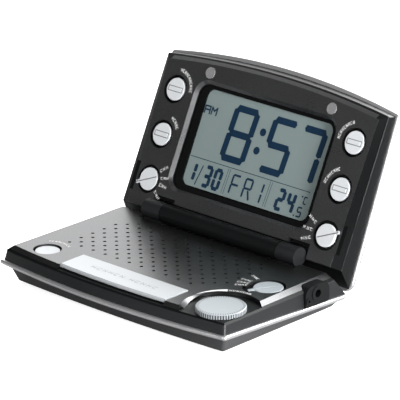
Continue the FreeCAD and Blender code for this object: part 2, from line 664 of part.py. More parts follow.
BAY_Z = (f"{FLOOR} + floor_wall / 2", f"{FLOOR} + bay_top")
BAY_X, BAY_Y = ("-bay_left", "-bay_right"), ("-bay_front", "-bay_back")
bay_outer = slab(BASE, BAY_X, BAY_Y, BAY_Z)
MOUTH_X = ("-bay_left + bay_wall", "-bay_right - bay_wall")
MOUTH_Y = ("-bay_front + bay_wall", "-bay_back - bay_wall")
bay_inner = slab(BASE, MOUTH_X, MOUTH_Y, (f"{FLOOR} - over", f"{FLOOR} + bay_top + over"))
bay_walls = cut(bay_outer, bay_inner)
FINGER_Y = f"{MOUTH_Y[1]} - door_travel - door_stop"
LEDGE_LOW = f"{FLOOR} + door_thick + ledge_gap"
mouth = slab(BASE, MOUTH_X, (MOUTH_Y[0], FINGER_Y), (f"{FLOOR} - over", f"{FLOOR} + floor_wall + play"))
finger_recess = slab(BASE, MOUTH_X, (FINGER_Y, MOUTH_Y[1]), (f"{FLOOR} - over", LEDGE_LOW))
ledge = slab(BASE, MOUTH_X, (FINGER_Y, "-bay_back - bay_wall / 2"), (f"{FLOOR} + over", f"{LEDGE_LOW} + over"))
make_shell(BASE, "base_lower_case", BASE_BOSSES, [bay_walls, ledge], [mouth, finger_recess])
make_shell(LID, "lid_back_shell", LID_BOSSES)
make_screws(BASE, "base_screws", BASE_BOSSES)
make_screws(LID, "lid_screws", LID_BOSSES)

door_y = (f"{MOUTH_Y[0]} + door_gap", f"{MOUTH_Y[1]} - door_gap - door_travel")
door_x = (f"{MOUTH_X[0]} + door_gap", f"{MOUTH_X[1]} - door_gap")
door = slab(BASE, door_x, door_y, (FLOOR, f"{FLOOR} + door_thick"))
grips = []
for place in range(int(size_of("grip_count"))):
    y = f"-bay_front + grip_first + {place} * grip_step"
    grips.append(slab(BASE, ("-bay_left + grip_margin", "-bay_right - grip_margin"), (y, f"{y} + grip_wide"),
                      (f"{FLOOR} - over", f"{FLOOR} + over")))
node("battery_door", cut(door, *grips))

FOOT_LOW = f"{FLOOR} - foot_height"
node("front_foot", slab(BASE, ("-foot_half", "foot_half"), ("-front_foot_a", "-front_foot_b"), (FOOT_LOW, FLOOR)))
node("rear_foot", slab(BASE, ("-foot_half", "foot_half"), ("-rear_foot_a", "rear_foot_b"), (FOOT_LOW, FLOOR)))

# --- cells and contacts ---------------------------------------------------------------------------

cell_parts, contacts = [], []
for place in range(3):
    x = f"-cell_first_x + {place} * cell_pitch"
    can = rod(BASE, (x, "-cell_y - cell_length / 2", "-cell_centre"), "cell_radius", "cell_length - cell_tip", "y")
    tip = rod(BASE, (x, "-cell_y + cell_length / 2 - cell_tip", "-cell_centre"), "cell_tip_radius", "cell_tip", "y")
    cell_parts.append(join(can, tip))
    for low in (MOUTH_Y[0], f"{MOUTH_Y[1]} - contact_thick"):
        contacts.append(slab(BASE, around(x, "contact_half"), (low, f"{low} + contact_thick"),
                             (f"{FLOOR} + floor_wall + contact_lift", f"{FLOOR} + bay_top - over")))
node("battery_cells", group(*cell_parts))
node("battery_contacts", group(*contacts))

# --- base controls --------------------------------------------------------------------------------


def stem(half, x, y, radius, top, low):
    return rod(half, (x, y, low), radius, f"({top}) - ({low})")


TACT_TOP = f"{BOARD} + tact_height"
snooze = new_body(BASE, "snooze_body")
bar = new_sketch(snooze, f"{PLATE_TOP} + snooze_proud - snooze_thick")
bar_front = "plate_front + plate_bow * (1 - (snooze_half / plate_front_half) ^ 2)"
bar_bow = "plate_bow * (snooze_half / plate_front_half) ^ 2"
bowed(bar, "snooze_half", "snooze_half", bar_front, bar_bow, "-snooze_back", reach="snooze_half")
pad(snooze, bar, "snooze_thick")
BAR_TOP = f"{PLATE_TOP} + snooze_proud"
bevel_edges(snooze, "snooze_edge", lambda e, p: at_level(p, BAR_TOP) and p.y < size_of("-plate_front"))
SNOOZE_LOW = f"({BAR_TOP} - snooze_thick + play)"
snooze_stems = [stem(BASE, x, "-snooze_stem_y", "snooze_stem", SNOOZE_LOW, f"{TACT_TOP} + snooze_travel + play")
                for x in ("-snooze_stem_x", "snooze_stem_x")]
node("snooze_bar", join(snooze, *snooze_stems))


def crowned_disc(half, x, y, radius, top, thick):
    body = new_body(half, "disc_body")
    sketch = new_sketch(body, f"({top}) - ({thick})")
    circle(sketch, x, y, radius)
    pad(body, sketch, thick)
    round_edges(body, "disc_edge", lambda e, p: at_level(p, top))
    return body


alarm_top = f"{PLATE_TOP} - alarm_sink"
alarm_disc = crowned_disc(BASE, "-alarm_x", "-alarm_y", "alarm_radius", alarm_top, "alarm_thick")
alarm_stem = stem(BASE, "-alarm_x", "-alarm_y", "stem_radius", f"{alarm_top} - stem_root",
                  f"{TACT_TOP} + alarm_travel + play")
node("alarm_button", join(alarm_disc, alarm_stem))

dial_top = f"{PLATE_TOP} + dial_proud"
dial_low = f"({PLATE_TOP} - ({RECESS}) + dial_clearance)"
dial = new_body(BASE, "dial_body")
wheel = new_sketch(dial, dial_low)
circle(wheel, "dial_x", "-dial_y", "dial_radius")
pad(dial, wheel, f"({dial_top}) - {dial_low}")
bevel_edges(dial, "dial_edge", lambda e, p: at_level(p, dial_top))
grooves = []
reach, groove_low = size_of("dial_radius + dial_knurl_out"), size_of(f"{dial_low} - over")
for step in range(int(size_of("dial_knurls"))):
    angle = 2 * math.pi * step / size_of("dial_knurls")
    spot = Vector(size_of("dial_x") + reach * math.cos(angle), -size_of("dial_y") + reach * math.sin(angle), groove_low)
    grooves.append(Part.makeCylinder(size_of("dial_knurl_depth"), size_of(f"{dial_top} + over") - groove_low, spot))
POT_TOP = f"({BOARD} + pot_height)"
dial_shaft = stem(BASE, "dial_x", "-dial_y", "shaft_radius", f"{dial_low} + play", f"{BOARD} + stem_root")
node("volume_dial", join(cut(dial, shaped(Part.makeCompound(grooves), BASE, "knurls")), dial_shaft))


def rotary_switch(half, x, y, wide, tall):
    block = slab(half, around(x, wide), around(y, wide), (BOARD, f"{BOARD} + {tall}"))
    return cut(block, stem(half, x, y, "shaft_hole", f"{BOARD} + {tall} + play", f"{BOARD} + stem_root - play"))


pot = stem(BASE, "dial_x", "-dial_y", "pot_radius", POT_TOP, BOARD)
pot_hole = stem(BASE, "dial_x", "-dial_y", "shaft_hole", f"{POT_TOP} + play", f"{BOARD} + stem_root - play")
node("volume_potentiometer", cut(pot, pot_hole))


def turned_bar(half, x, y, level, angle, start, length, width, height):
    """Box that lies along a direction from a centre, with its middle line on that direction."""
    bar_box = primitive("Part::Box", half, ("0", "0", "0"), TURNS["z"],
                        {"Length": length, "Width": width, "Height": height})
    place = f"placement(vector({x}; {y}; {level}); rotation(vector(0; 0; 1); {angle}))"
    shift = f"placement(vector({start}; -({width}) / 2; 0); {TURNS['z']})"
    bar_box.setExpression("Placement", cells(f"{half} * {place} * {shift}"))
    return bar_box


def knob(half, x, y, radius, tab, angle):
    """Rotary selector: a disc with a lever tab, a line across its face and a shaft below."""
    top = f"({PLATE_TOP} - knob_sink)"
    disc = crowned_disc(half, x, y, radius, top, "knob_thick")
    lever = turned_bar(half, x, y, f"{top} - tab_thick", angle, "0", tab, "2 * tab_half", "tab_thick")
    groove = turned_bar(half, x, y, f"{top} - knob_line_depth", angle, f"-{radius} * knob_line_start",
                        f"{tab} + {radius}", "knob_line", "knob_line_depth + over")
    shaft = stem(half, x, y, "shaft_radius", f"{top} - shaft_root", f"{BOARD} + over")
    return cut(join(disc, lever, shaft), groove)


node("band_selector", knob(BASE, "band_x", "-band_y", "band_radius", "band_tab", "band_angle"))
node("band_switch", rotary_switch(BASE, "band_x", "-band_y", "switch_half", "switch_height"))

# --- speaker, boards and radio parts --------------------------------------------------------------

SPEAKER_TOP = f"({PLATE_LOW} - frame_roof - 2 * play)"
SPEAKER_LOW = f"({SPEAKER_TOP} - speaker_depth)"
SPEAKER = ("speaker_x", "-speaker_y")
basket = rod(BASE, (*SPEAKER, SPEAKER_LOW), "speaker_radius", "speaker_depth")
basket_room = cone(BASE, (*SPEAKER, f"{SPEAKER_LOW} + speaker_floor"), "cone_throat + cone_lift",
                   "speaker_radius - speaker_rim", "speaker_depth - speaker_floor + sleeve_gap")
node("speaker_frame", cut(basket, basket_room))
cone_sides = ("cone_throat", "speaker_radius - speaker_rim - cone_clearance", "cone_height")
cone_outer = cone(BASE, (*SPEAKER, f"{SPEAKER_LOW} + cone_lift"), *cone_sides)
cone_inner = cone(BASE, (*SPEAKER, f"{SPEAKER_LOW} + cone_lift + cone_wall"), *cone_sides)
node("speaker_cone", cut(cone_outer, cone_inner))
node("speaker_magnet", rod(BASE, (*SPEAKER, f"{SPEAKER_LOW} - magnet_depth"), "magnet_radius", "magnet_depth"))

BOARD_Z = (f"{BOARD} - board_thick", BOARD)
front_strip = slab(BASE, ("-board_left", "board_right"), ("-board_front", "-bay_front - bay_step"), BOARD_Z)
right_wing = slab(BASE, ("speaker_x + speaker_radius + speaker_rim", "board_right"),
                  ("-bay_front - bay_step - play", "-board_back"), BOARD_Z)


def boss_holes(half, bosses):
    return [rod(half, (x, y, f"{BOARD_Z[0]} - over"), "boss_radius + stem_root", "board_thick + 2 * over")
            for x, y in bosses]


node("base_board", cut(join(front_strip, right_wing), *boss_holes(BASE, BASE_BOSSES)))


def tact(half, x, y):
    return slab(half, around(x, "tact_half"), around(y, "tact_half"), (BOARD, TACT_TOP))


base_presses = [("-snooze_stem_x", "-snooze_stem_y"), ("snooze_stem_x", "-snooze_stem_y"), ("-alarm_x", "-alarm_y")]
node("base_press_switches", group(*[tact(BASE, x, y) for x, y in base_presses]))

antenna = ("speaker_x - antenna_half", "-antenna_y", "-antenna_z")
node("antenna_rod", rod(BASE, antenna, "antenna_radius", "2 * antenna_half", "x"))
coil_start = ("speaker_x - coil_half", "-antenna_y", "-antenna_z")
coil = rod(BASE, coil_start, "coil_radius", "2 * coil_half", "x")
coil_room = rod(BASE, ("speaker_x - coil_half - over", "-antenna_y", "-antenna_z"), "antenna_radius",
                "2 * (coil_half + over)", "x")
node("antenna_coil", cut(coil, coil_room))

# --- earphone jack --------------------------------------------------------------------------------

SOCKET, RESET = ("-jack_y", "-jack_z"), ("-reset_y", "-reset_z")
socket = rod(BASE, ("jack_body_inner + socket_end", *SOCKET), "jack_bore", "jack_outer - jack_body_inner", "x")
reset_hole = rod(BASE, ("jack_inner - over", *RESET), "reset_bore", "jack_outer - jack_inner + 2 * over", "x")
reset_rim = rod(BASE, ("jack_outer - over", *RESET), "reset_ring", "over + jack_proud", "x")
sleeve_room = rod(BASE, ("jack_inner - over", *SOCKET), "jack_ring + sleeve_gap",
                  "jack_outer - jack_inner + 2 * over", "x")
node("jack_housing", cut(join(jack_block("0"), reset_rim), sleeve_room, reset_hole, nodes["base_trim_ring"]))
sleeve = rod(BASE, ("jack_inner", *SOCKET), "jack_ring", "jack_outer - jack_inner + jack_proud", "x")
jack_core = slab(BASE, ("jack_body_inner", "jack_inner"), around("-jack_y", "jack_body_half"),
                 ("-jack_z - jack_body_half + door_stop", "-jack_z + jack_body_top"))
node("earphone_jack", cut(join(sleeve, jack_core), socket))

# --- lid controls and display ---------------------------------------------------------------------

BEZEL_TOP = PLATE_LOW
BEZEL_LOW = f"({PLATE_LOW} - bezel_thick)"
DISC_TOP = f"{PLATE_TOP} - lid_button_sink"
for name, (x, y) in LID_BUTTONS.items():
    disc = crowned_disc(LID, x, y, "lid_button_radius", DISC_TOP, "lid_button_thick")
    rib = slab(LID, around(x, "rib_long"), around(y, "rib_half"), (f"{DISC_TOP} - play", f"{DISC_TOP} + rib_proud"))
    plunger = stem(LID, x, y, "stem_radius", f"{PLATE_TOP} - stem_root", f"{TACT_TOP} + lid_button_travel + play")
    node(name, join(disc, rib, plunger))
node("lid_press_switches", group(*[tact(LID, x, y) for x, y in LID_BUTTONS.values()]))
node("mode_selector", knob(LID, "lid_knob_x", "-lid_knob_y", "lid_knob_radius", "lid_tab", "mode_tilt"))
node("zone_selector", knob(LID, "-lid_knob_x", "-lid_knob_y", "lid_knob_radius", "lid_tab", "180 + zone_tilt"))
lid_switches = [rotary_switch(LID, x, "-lid_knob_y", "switch_half", "switch_height") for x in LID_KNOBS.values()]
node("lid_rotary_switches", group(*lid_switches))
bumpers = [rod(LID, (x, "-bumper_y", f"{PLATE_TOP} - bumper_depth"), "bumper_radius", "bumper_depth + bumper_proud")
           for x in ("-bumper_x", "bumper_x")]
node("lid_bumpers", group(*bumpers))

bezel = new_body(LID, "bezel_body")
carrier = new_sketch(bezel, BEZEL_TOP)
rectangle(carrier, ("-carrier_half", "carrier_half"), ("-carrier_far", "-carrier_near"))
pad(bezel, carrier, "bezel_thick", down=True)
glass_hole = new_sketch(bezel, BEZEL_TOP)
rectangle(glass_hole, ("-glass_right", "glass_left"), ("-glass_far", "-glass_near"))
pocket(bezel, glass_hole, "bezel_thick + play")


def glass_corner_edge(edge, spot):
    beside = min(abs(spot.x - size_of("glass_left")), abs(spot.x + size_of("glass_right")))
    return upright(edge, spot) and beside < 2 * NEAR


round_edges(bezel, "glass_corner", glass_corner_edge)
for x, y in [*LID_BUTTONS.values(), *((x, "-lid_knob_y") for x in LID_KNOBS.values())]:
    stem_way = new_sketch(bezel, BEZEL_TOP)
    circle(stem_way, x, y, "stem_hole")
    pocket(bezel, stem_way, "bezel_thick + play")
node("display_bezel", bezel)

lens = new_body(LID, "lens_body")
pane = new_sketch(lens, f"{BEZEL_TOP} - lens_sink")
rectangle(pane, ("-glass_right + glass_gap", "glass_left - glass_gap"),
          ("-glass_far + glass_gap", "-glass_near - glass_gap"))
pad(lens, pane, "lens_thick", down=True)
round_edges(lens, "glass_corner", upright)
node("display_window", lens)

PANEL_X = ("-glass_right - panel_margin", "glass_left + panel_margin")
PANEL_Y = ("-glass_far - panel_margin", "-glass_near + panel_margin")
PANEL_TOP = f"({BEZEL_LOW} - glass_gap)"
PANEL_LOW = f"({PANEL_TOP} - panel_thick)"
GUIDE_LOW = f"({PANEL_LOW} - guide_thick)"
node("display_panel", slab(LID, PANEL_X, PANEL_Y, (PANEL_LOW, PANEL_TOP)))
node("light_guide", slab(LID, PANEL_X, ("-glass_far + guide_margin", "-glass_near - guide_margin"),
                         (f"{GUIDE_LOW} + glass_gap", f"{PANEL_LOW} - glass_gap")))
lamp_y = "-glass_far + guide_margin - lamp_radius - 2 * play"
lamps = [rod(LID, (x, lamp_y, BOARD), "lamp_radius", "lamp_height") for x in ("-lamp_x", "lamp_x")]
node("backlight_lamps", group(*lamps))
zebra_y = "-glass_near + zebra_margin"
node("zebra_strip", slab(LID, ("-glass_left", "glass_left"), (zebra_y, f"{zebra_y} + zebra_thick"),
                         (BOARD, f"{PANEL_LOW} - zebra_gap")))
lid_board = slab(LID, ("-lid_board_half", "lid_board_half"), ("-lid_board_far", "-lid_board_near"), BOARD_Z)
node("lid_board", cut(lid_board, *boss_holes(LID, LID_BOSSES)))
node("temperature_sensor", rod(LID, ("sensor_x", "-sensor_y", f"{BOARD_Z[0]} - sensor_long"), "sensor_radius",
                               "sensor_long"))
node("quartz_crystal", rod(LID, ("-crystal_x", "-crystal_y", f"{BOARD_Z[0]} - crystal_radius"), "crystal_radius",
                           "crystal_long", "x"))

# --- checks and export ----------------------------------------------------------------------------

doc.recompute()
faults = [o.Label for o in doc.Objects if "Invalid" in o.State or "Error" in o.State]
for label, piece in nodes.items():
    if piece.Shape.isNull() or not piece.Shape.isValid() or not piece.Shape.Solids:
        faults.append(label)
if faults:
    raise RuntimeError("failed pieces: " + ", ".join(faults))
os.makedirs("parts", exist_ok=True)
whole = FreeCAD.BoundBox()
for label, piece in nodes.items():
    piece.Shape.exportStep(f"parts/{label}.step")
    whole.add(piece.Shape.optimalBoundingBox(False))
print(len(nodes), "nodes; box", whole)
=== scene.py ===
import json
import math

import bpy
from mathutils import Matrix, Quaternion, Vector


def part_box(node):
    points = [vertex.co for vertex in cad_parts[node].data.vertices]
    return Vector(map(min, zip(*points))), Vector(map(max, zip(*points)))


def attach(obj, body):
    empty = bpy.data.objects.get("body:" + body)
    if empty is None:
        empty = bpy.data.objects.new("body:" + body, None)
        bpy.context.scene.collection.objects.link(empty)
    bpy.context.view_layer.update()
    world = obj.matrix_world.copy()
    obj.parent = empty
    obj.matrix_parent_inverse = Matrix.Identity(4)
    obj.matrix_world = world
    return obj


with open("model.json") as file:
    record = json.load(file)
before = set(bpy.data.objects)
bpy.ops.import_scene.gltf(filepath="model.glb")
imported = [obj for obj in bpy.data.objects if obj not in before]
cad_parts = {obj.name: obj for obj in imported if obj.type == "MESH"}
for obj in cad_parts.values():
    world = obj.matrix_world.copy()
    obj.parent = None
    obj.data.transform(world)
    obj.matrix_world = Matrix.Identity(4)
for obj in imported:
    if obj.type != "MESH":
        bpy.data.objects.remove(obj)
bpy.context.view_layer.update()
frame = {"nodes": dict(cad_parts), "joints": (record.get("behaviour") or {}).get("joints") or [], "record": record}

# Fold-out travel alarm clock with a radio, lid open. Metres, in the part's own frame.
MM = 0.001
hinge = next(j for j in frame["joints"] if j["name"] == "lid_hinge")
HINGE = Vector(hinge["pos_m"])
OPEN = math.radians(116)
FREE = Vector((0, -math.cos(OPEN), math.sin(OPEN)))
OUT = Vector((0, -math.sin(OPEN), -math.cos(OPEN)))
DECK_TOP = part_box("deck_plate")[1].z - HINGE.z
LAYER_LIFT = 0.012 * MM
LAYER_THICK = 0.02 * MM
TINY = 1e-7
# Centres of the dial and of the band selector, across and forward of the hinge line.
DIAL, BAND = (53.6 * MM, -58.9 * MM), (52.9 * MM, -28.4 * MM)


def plane_frame(across, up, out):
    """Matrix that carries a flat drawing (x across, y up, z out of the face) to its place on the clock."""
    turn = Matrix((across, up, out)).transposed().to_4x4()
    return Matrix.Translation(HINGE) @ turn


DECK = plane_frame(Vector((1, 0, 0)), Vector((0, 1, 0)), Vector((0, 0, 1)))
LID = plane_frame(Vector((1, 0, 0)), FREE, OUT)


# --- modelling helpers ----------------------------------------------------------------------------

def deselect():
    bpy.ops.object.select_all(action="DESELECT")


def edit(obj):
    deselect()
    obj.select_set(True)
    bpy.context.view_layer.objects.active = obj
    bpy.ops.object.mode_set(mode="EDIT")


def leave_edit():
    bpy.ops.object.mode_set(mode="OBJECT")


def edit_picked(obj, test):
    """Opens a mesh for editing with only those vertices selected whose place passes the test."""
    mesh = obj.data
    for part in (mesh.vertices, mesh.edges, mesh.polygons):
        part.foreach_set("select", [False] * len(part))
    for vertex in mesh.vertices:
        vertex.select = bool(test(vertex.co))
    edit(obj)
    bpy.ops.mesh.select_mode(type="VERT")


def new_name(obj, name):
    obj.name = name
    obj.data.name = name
    return obj


def bar_pattern(sides):
    """Flat outline 1 mm wide, its two ends moved 1 mm out from the middle, from which every bar is copied."""
    deselect()
    bpy.ops.mesh.primitive_circle_add(vertices=sides, radius=0.5 * MM, fill_type="NGON")
    pattern = bpy.context.active_object
    edit_picked(pattern, lambda v: v.y > TINY)
    bpy.ops.transform.translate(value=(0, MM, 0))
    leave_edit()
    edit_picked(pattern, lambda v: v.y < -TINY)
    bpy.ops.transform.translate(value=(0, -MM, 0))
    leave_edit()
    return pattern


def bar(length, width, centre, angle=0.0, pointed=True):
    """Flat bar with pointed or round ends along the angle: a copy of its pattern, stretched to length."""
    pattern = POINTED if pointed else ROUNDED
    strip = pattern.copy()
    strip.data = pattern.data.copy()
    bpy.context.scene.collection.objects.link(strip)
    stretch = (length - width) / 2
    widen = width / MM / (math.cos(math.pi / 6) if pointed else 1)
    for vertex in strip.data.vertices:
        end = math.copysign(MM, vertex.co.y) if abs(vertex.co.y) > TINY else 0.0
        along = (vertex.co.y - end) * width / MM + (math.copysign(stretch, end) if end else 0.0)
        vertex.co = Vector((vertex.co.x * widen, along, 0))
    turn = Matrix.Rotation(angle - math.pi / 2, 4, "Z")
    strip.data.transform(Matrix.Translation((centre[0], centre[1], 0)) @ turn)
    return strip


def dot(radius, centre):
    """Flat round spot."""
    deselect()
    bpy.ops.mesh.primitive_circle_add(vertices=20, radius=radius, fill_type="NGON")
    disc = bpy.context.active_object
    disc.data.transform(Matrix.Translation((centre[0], centre[1], 0)))
    return disc


def growing_stripe(centre, inner, outer, first, last):
    """Flat curved stripe outside the inner radius, a hair wide at its first direction, full at its last."""
    deselect()
    bpy.ops.mesh.primitive_plane_add(size=1)
    stripe = bpy.context.active_object
    edit(stripe)
    bpy.ops.mesh.delete(type="ONLY_FACE")
    leave_edit()
    edit_picked(stripe, lambda v: v.x > 0)
    bpy.ops.mesh.delete(type="VERT")
    leave_edit()
    low, high = sorted(stripe.data.vertices, key=lambda v: v.co.y)
    low.co, high.co = Vector((inner, 0, 0)), Vector((outer, 0, 0))
    edit(stripe)
    bpy.ops.mesh.select_all(action="SELECT")
    sweep = math.radians(last - first)
    bpy.ops.mesh.spin(steps=28, angle=sweep, center=(0, 0, 0), axis=(0, 0, -1))
    bpy.ops.mesh.remove_doubles(threshold=TINY / 10)
    leave_edit()
    thin_end = 0.08
    for vertex in stripe.data.vertices:
        share = min(1, abs(math.atan2(vertex.co.y, vertex.co.x) / sweep))
        width = (vertex.co.xy.length - inner) * (thin_end + (1 - thin_end) * share)
        vertex.co.xy = vertex.co.xy.normalized() * (inner + width)
    stripe.data.transform(Matrix.Translation((centre[0], centre[1], 0))
                          @ Matrix.Rotation(math.radians(first), 4, "Z"))
    return stripe


def join(name, parts):
    """Makes one mesh of several."""
    deselect()
    for part in parts:
        part.select_set(True)
    bpy.context.view_layer.objects.active = parts[0]
    if len(parts) > 1:
        bpy.ops.object.join()
    return new_name(bpy.context.active_object, name)


def thin_layer(name, parts, place, level, material, body, thick=LAYER_THICK):
    """Joins flat shapes into one thin layer on a face, for print and for painted shade, and lets it ride on a
    body.
    """
    piece = join(name, parts)
    edit(piece)
    bpy.ops.mesh.select_all(action="SELECT")
    bpy.ops.mesh.extrude_region_move(TRANSFORM_OT_translate={"value": (0, 0, thick)})
    bpy.ops.mesh.select_all(action="SELECT")
    bpy.ops.mesh.normals_make_consistent(inside=False)
    leave_edit()
    piece.data.transform(place @ Matrix.Translation((0, 0, level)))
    piece.data.materials.clear()
    piece.data.materials.append(material)
    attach(piece, body)
    return piece


POINTED, ROUNDED = bar_pattern(6), bar_pattern(16)

# --- shader groups --------------------------------------------------------------------------------

def shader_group(name, inputs, outputs):
    """Empty node group with its sockets; gives the tree and its entry and exit nodes."""
    tree = bpy.data.node_groups.new(name, "ShaderNodeTree")
    for label, kind, value in inputs:
        socket = tree.interface.new_socket(label, in_out="INPUT", socket_type=kind)
        socket.default_value = value
    for label, kind in outputs:
        tree.interface.new_socket(label, in_out="OUTPUT", socket_type=kind)
    entry, leave = tree.nodes.new("NodeGroupInput"), tree.nodes.new("NodeGroupOutput")
    return tree, entry, leave


def math_node(tree, kind, a, b):
    """Maths on two sockets or numbers; gives the result's socket."""
    node = tree.nodes.new("ShaderNodeMath")
    node.operation = kind
    for socket, value in zip(node.inputs, (a, b)):
        if hasattr(value, "is_output"):
            tree.links.new(value, socket)
        else:
            socket.default_value = value
    return node.outputs[0]


def noise(tree, scale, detail=3.0):
    """Noise over the piece's own coordinates."""
    place = tree.nodes.new("ShaderNodeTexCoord")
    node = tree.nodes.new("ShaderNodeTexNoise")
    node.inputs["Detail"].default_value = detail
    tree.links.new(place.outputs["Object"], node.inputs["Vector"])
    if hasattr(scale, "is_output"):
        tree.links.new(scale, node.inputs["Scale"])
    else:
        node.inputs["Scale"].default_value = scale
    return node.outputs["Fac"]


def moulded_grain():
    """Fine skin of a moulded or sprayed surface: bump height, roughness and a slow drift of colour."""
    tree, entry, leave = shader_group(
        "moulded_grain",
        [("Base", "NodeSocketColor", (0.1, 0.1, 0.1, 1)), ("Drift", "NodeSocketFloat", 0.15),
         ("Rough", "NodeSocketFloat", 0.4), ("Rough Spread", "NodeSocketFloat", 0.1),
         ("Grain Scale", "NodeSocketFloat", 2500.0), ("Grain Height", "NodeSocketFloat", 0.00002)],
        [("Color", "NodeSocketColor"), ("Roughness", "NodeSocketFloat"), ("Height", "NodeSocketFloat")])
    slow = noise(tree, 38.0, 4.0)
    fine = noise(tree, entry.outputs["Grain Scale"], 2.0)
    sway = math_node(tree, "SUBTRACT", slow, 0.5)
    gain = math_node(tree, "ADD", math_node(tree, "MULTIPLY", sway, entry.outputs["Drift"]), 1.0)
    mottle = math_node(tree, "MULTIPLY", math_node(tree, "SUBTRACT", fine, 0.5), entry.outputs["Drift"])
    tint = tree.nodes.new("ShaderNodeVectorMath")
    tint.operation = "SCALE"
    tree.links.new(entry.outputs["Base"], tint.inputs[0])
    tree.links.new(math_node(tree, "ADD", gain, mottle), tint.inputs["Scale"])
    spread = math_node(tree, "MULTIPLY", math_node(tree, "ADD", sway, math_node(tree, "SUBTRACT", fine, 0.5)),
                       entry.outputs["Rough Spread"])
    tree.links.new(tint.outputs[0], leave.inputs["Color"])
    tree.links.new(math_node(tree, "ADD", entry.outputs["Rough"], spread), leave.inputs["Roughness"])
    tree.links.new(math_node(tree, "MULTIPLY", fine, entry.outputs["Grain Height"]), leave.inputs["Height"])
    return tree


def metal_flake():
    """Sparkle of a metallic lacquer: every flake has its own lightness."""
    tree, entry, leave = shader_group(
        "metal_flake",
        [("Base", "NodeSocketColor", (0.3, 0.3, 0.3, 1)), ("Flake Scale", "NodeSocketFloat", 5000.0),
         ("Sparkle", "NodeSocketFloat", 0.25)],
        [("Color", "NodeSocketColor")])
    place = tree.nodes.new("ShaderNodeTexCoord")
    cells = tree.nodes.new("ShaderNodeTexVoronoi")
    tree.links.new(place.outputs["Object"], cells.inputs["Vector"])
    tree.links.new(entry.outputs["Flake Scale"], cells.inputs["Scale"])
    lightness = tree.nodes.new("ShaderNodeSeparateColor")
    tree.links.new(cells.outputs["Color"], lightness.inputs["Color"])
    own = math_node(tree, "SUBTRACT", lightness.outputs["Red"], 0.5)
    gain = math_node(tree, "ADD", math_node(tree, "MULTIPLY", own, entry.outputs["Sparkle"]), 1.0)
    tint = tree.nodes.new("ShaderNodeVectorMath")
    tint.operation = "SCALE"
    tree.links.new(entry.outputs["Base"], tint.inputs[0])
    tree.links.new(gain, tint.inputs["Scale"])
    tree.links.new(tint.outputs[0], leave.inputs["Color"])
    return tree


GRAIN, FLAKE = moulded_grain(), metal_flake()


def new_material(name, metallic=0.0, **constants):
    """Material with its shader's constants set; underscores in their names stand for spaces."""
    made = bpy.data.materials.new(name)
    made.use_nodes = True
    tree = made.node_tree
    shader = tree.nodes["Principled BSDF"]
    shader.inputs["Metallic"].default_value = metallic
    for label, value in constants.items():
        shader.inputs[label.replace("_", " ")].default_value = value
    return made, tree, shader


def place_group(tree, group, **values):
    """One use of a shader group with its own values."""
    node = tree.nodes.new("ShaderNodeGroup")
    node.node_tree = group
    for label, value in values.items():
        node.inputs[label.replace("_", " ")].default_value = value
    return node


def add_bump(tree, shader, height):
    """Relief from a height in metres."""
    bump = tree.nodes.new("ShaderNodeBump")
    bump.inputs["Strength"].default_value = 1.0
    bump.inputs["Distance"].default_value = 1.0
    tree.links.new(height, bump.inputs["Height"])
    tree.links.new(bump.outputs["Normal"], shader.inputs["Normal"])


def skin(name, colour, rough, metallic=0.0, drift=0.15, scale=2500.0, height=0.02 * MM, **constants):
    """Plain moulded or painted finish with its grain."""
    made, tree, shader = new_material(name, metallic, **constants)
    grain = place_group(tree, GRAIN, Base=(*colour, 1), Drift=drift, Rough=rough, Rough_Spread=0.1,
                        Grain_Scale=scale, Grain_Height=height)
    tree.links.new(grain.outputs["Color"], shader.inputs["Base Color"])
    tree.links.new(grain.outputs["Roughness"], shader.inputs["Roughness"])
    add_bump(tree, shader, grain.outputs["Height"])
    return made


def flaked_paint(tree, colour, rough, sparkle):
    """Flakes under a slow drift of tone and roughness; gives the node whose outputs the shader takes."""
    flake = place_group(tree, FLAKE, Base=(*colour, 1), Flake_Scale=5000.0, Sparkle=sparkle)
    paint = place_group(tree, GRAIN, Drift=0.06, Rough=rough, Rough_Spread=0.06, Grain_Height=0.006 * MM)
    tree.links.new(flake.outputs["Color"], paint.inputs["Base"])
    return paint


def lacquer(name, colour, rough, metallic, sparkle):
    """Metallic lacquer all over."""
    made, tree, shader = new_material(name, metallic)
    grain = flaked_paint(tree, colour, rough, sparkle)
    tree.links.new(grain.outputs["Color"], shader.inputs["Base Color"])
    tree.links.new(grain.outputs["Roughness"], shader.inputs["Roughness"])
    add_bump(tree, shader, grain.outputs["Height"])
    return made


# --- finishes -------------------------------------------------------------------------------------

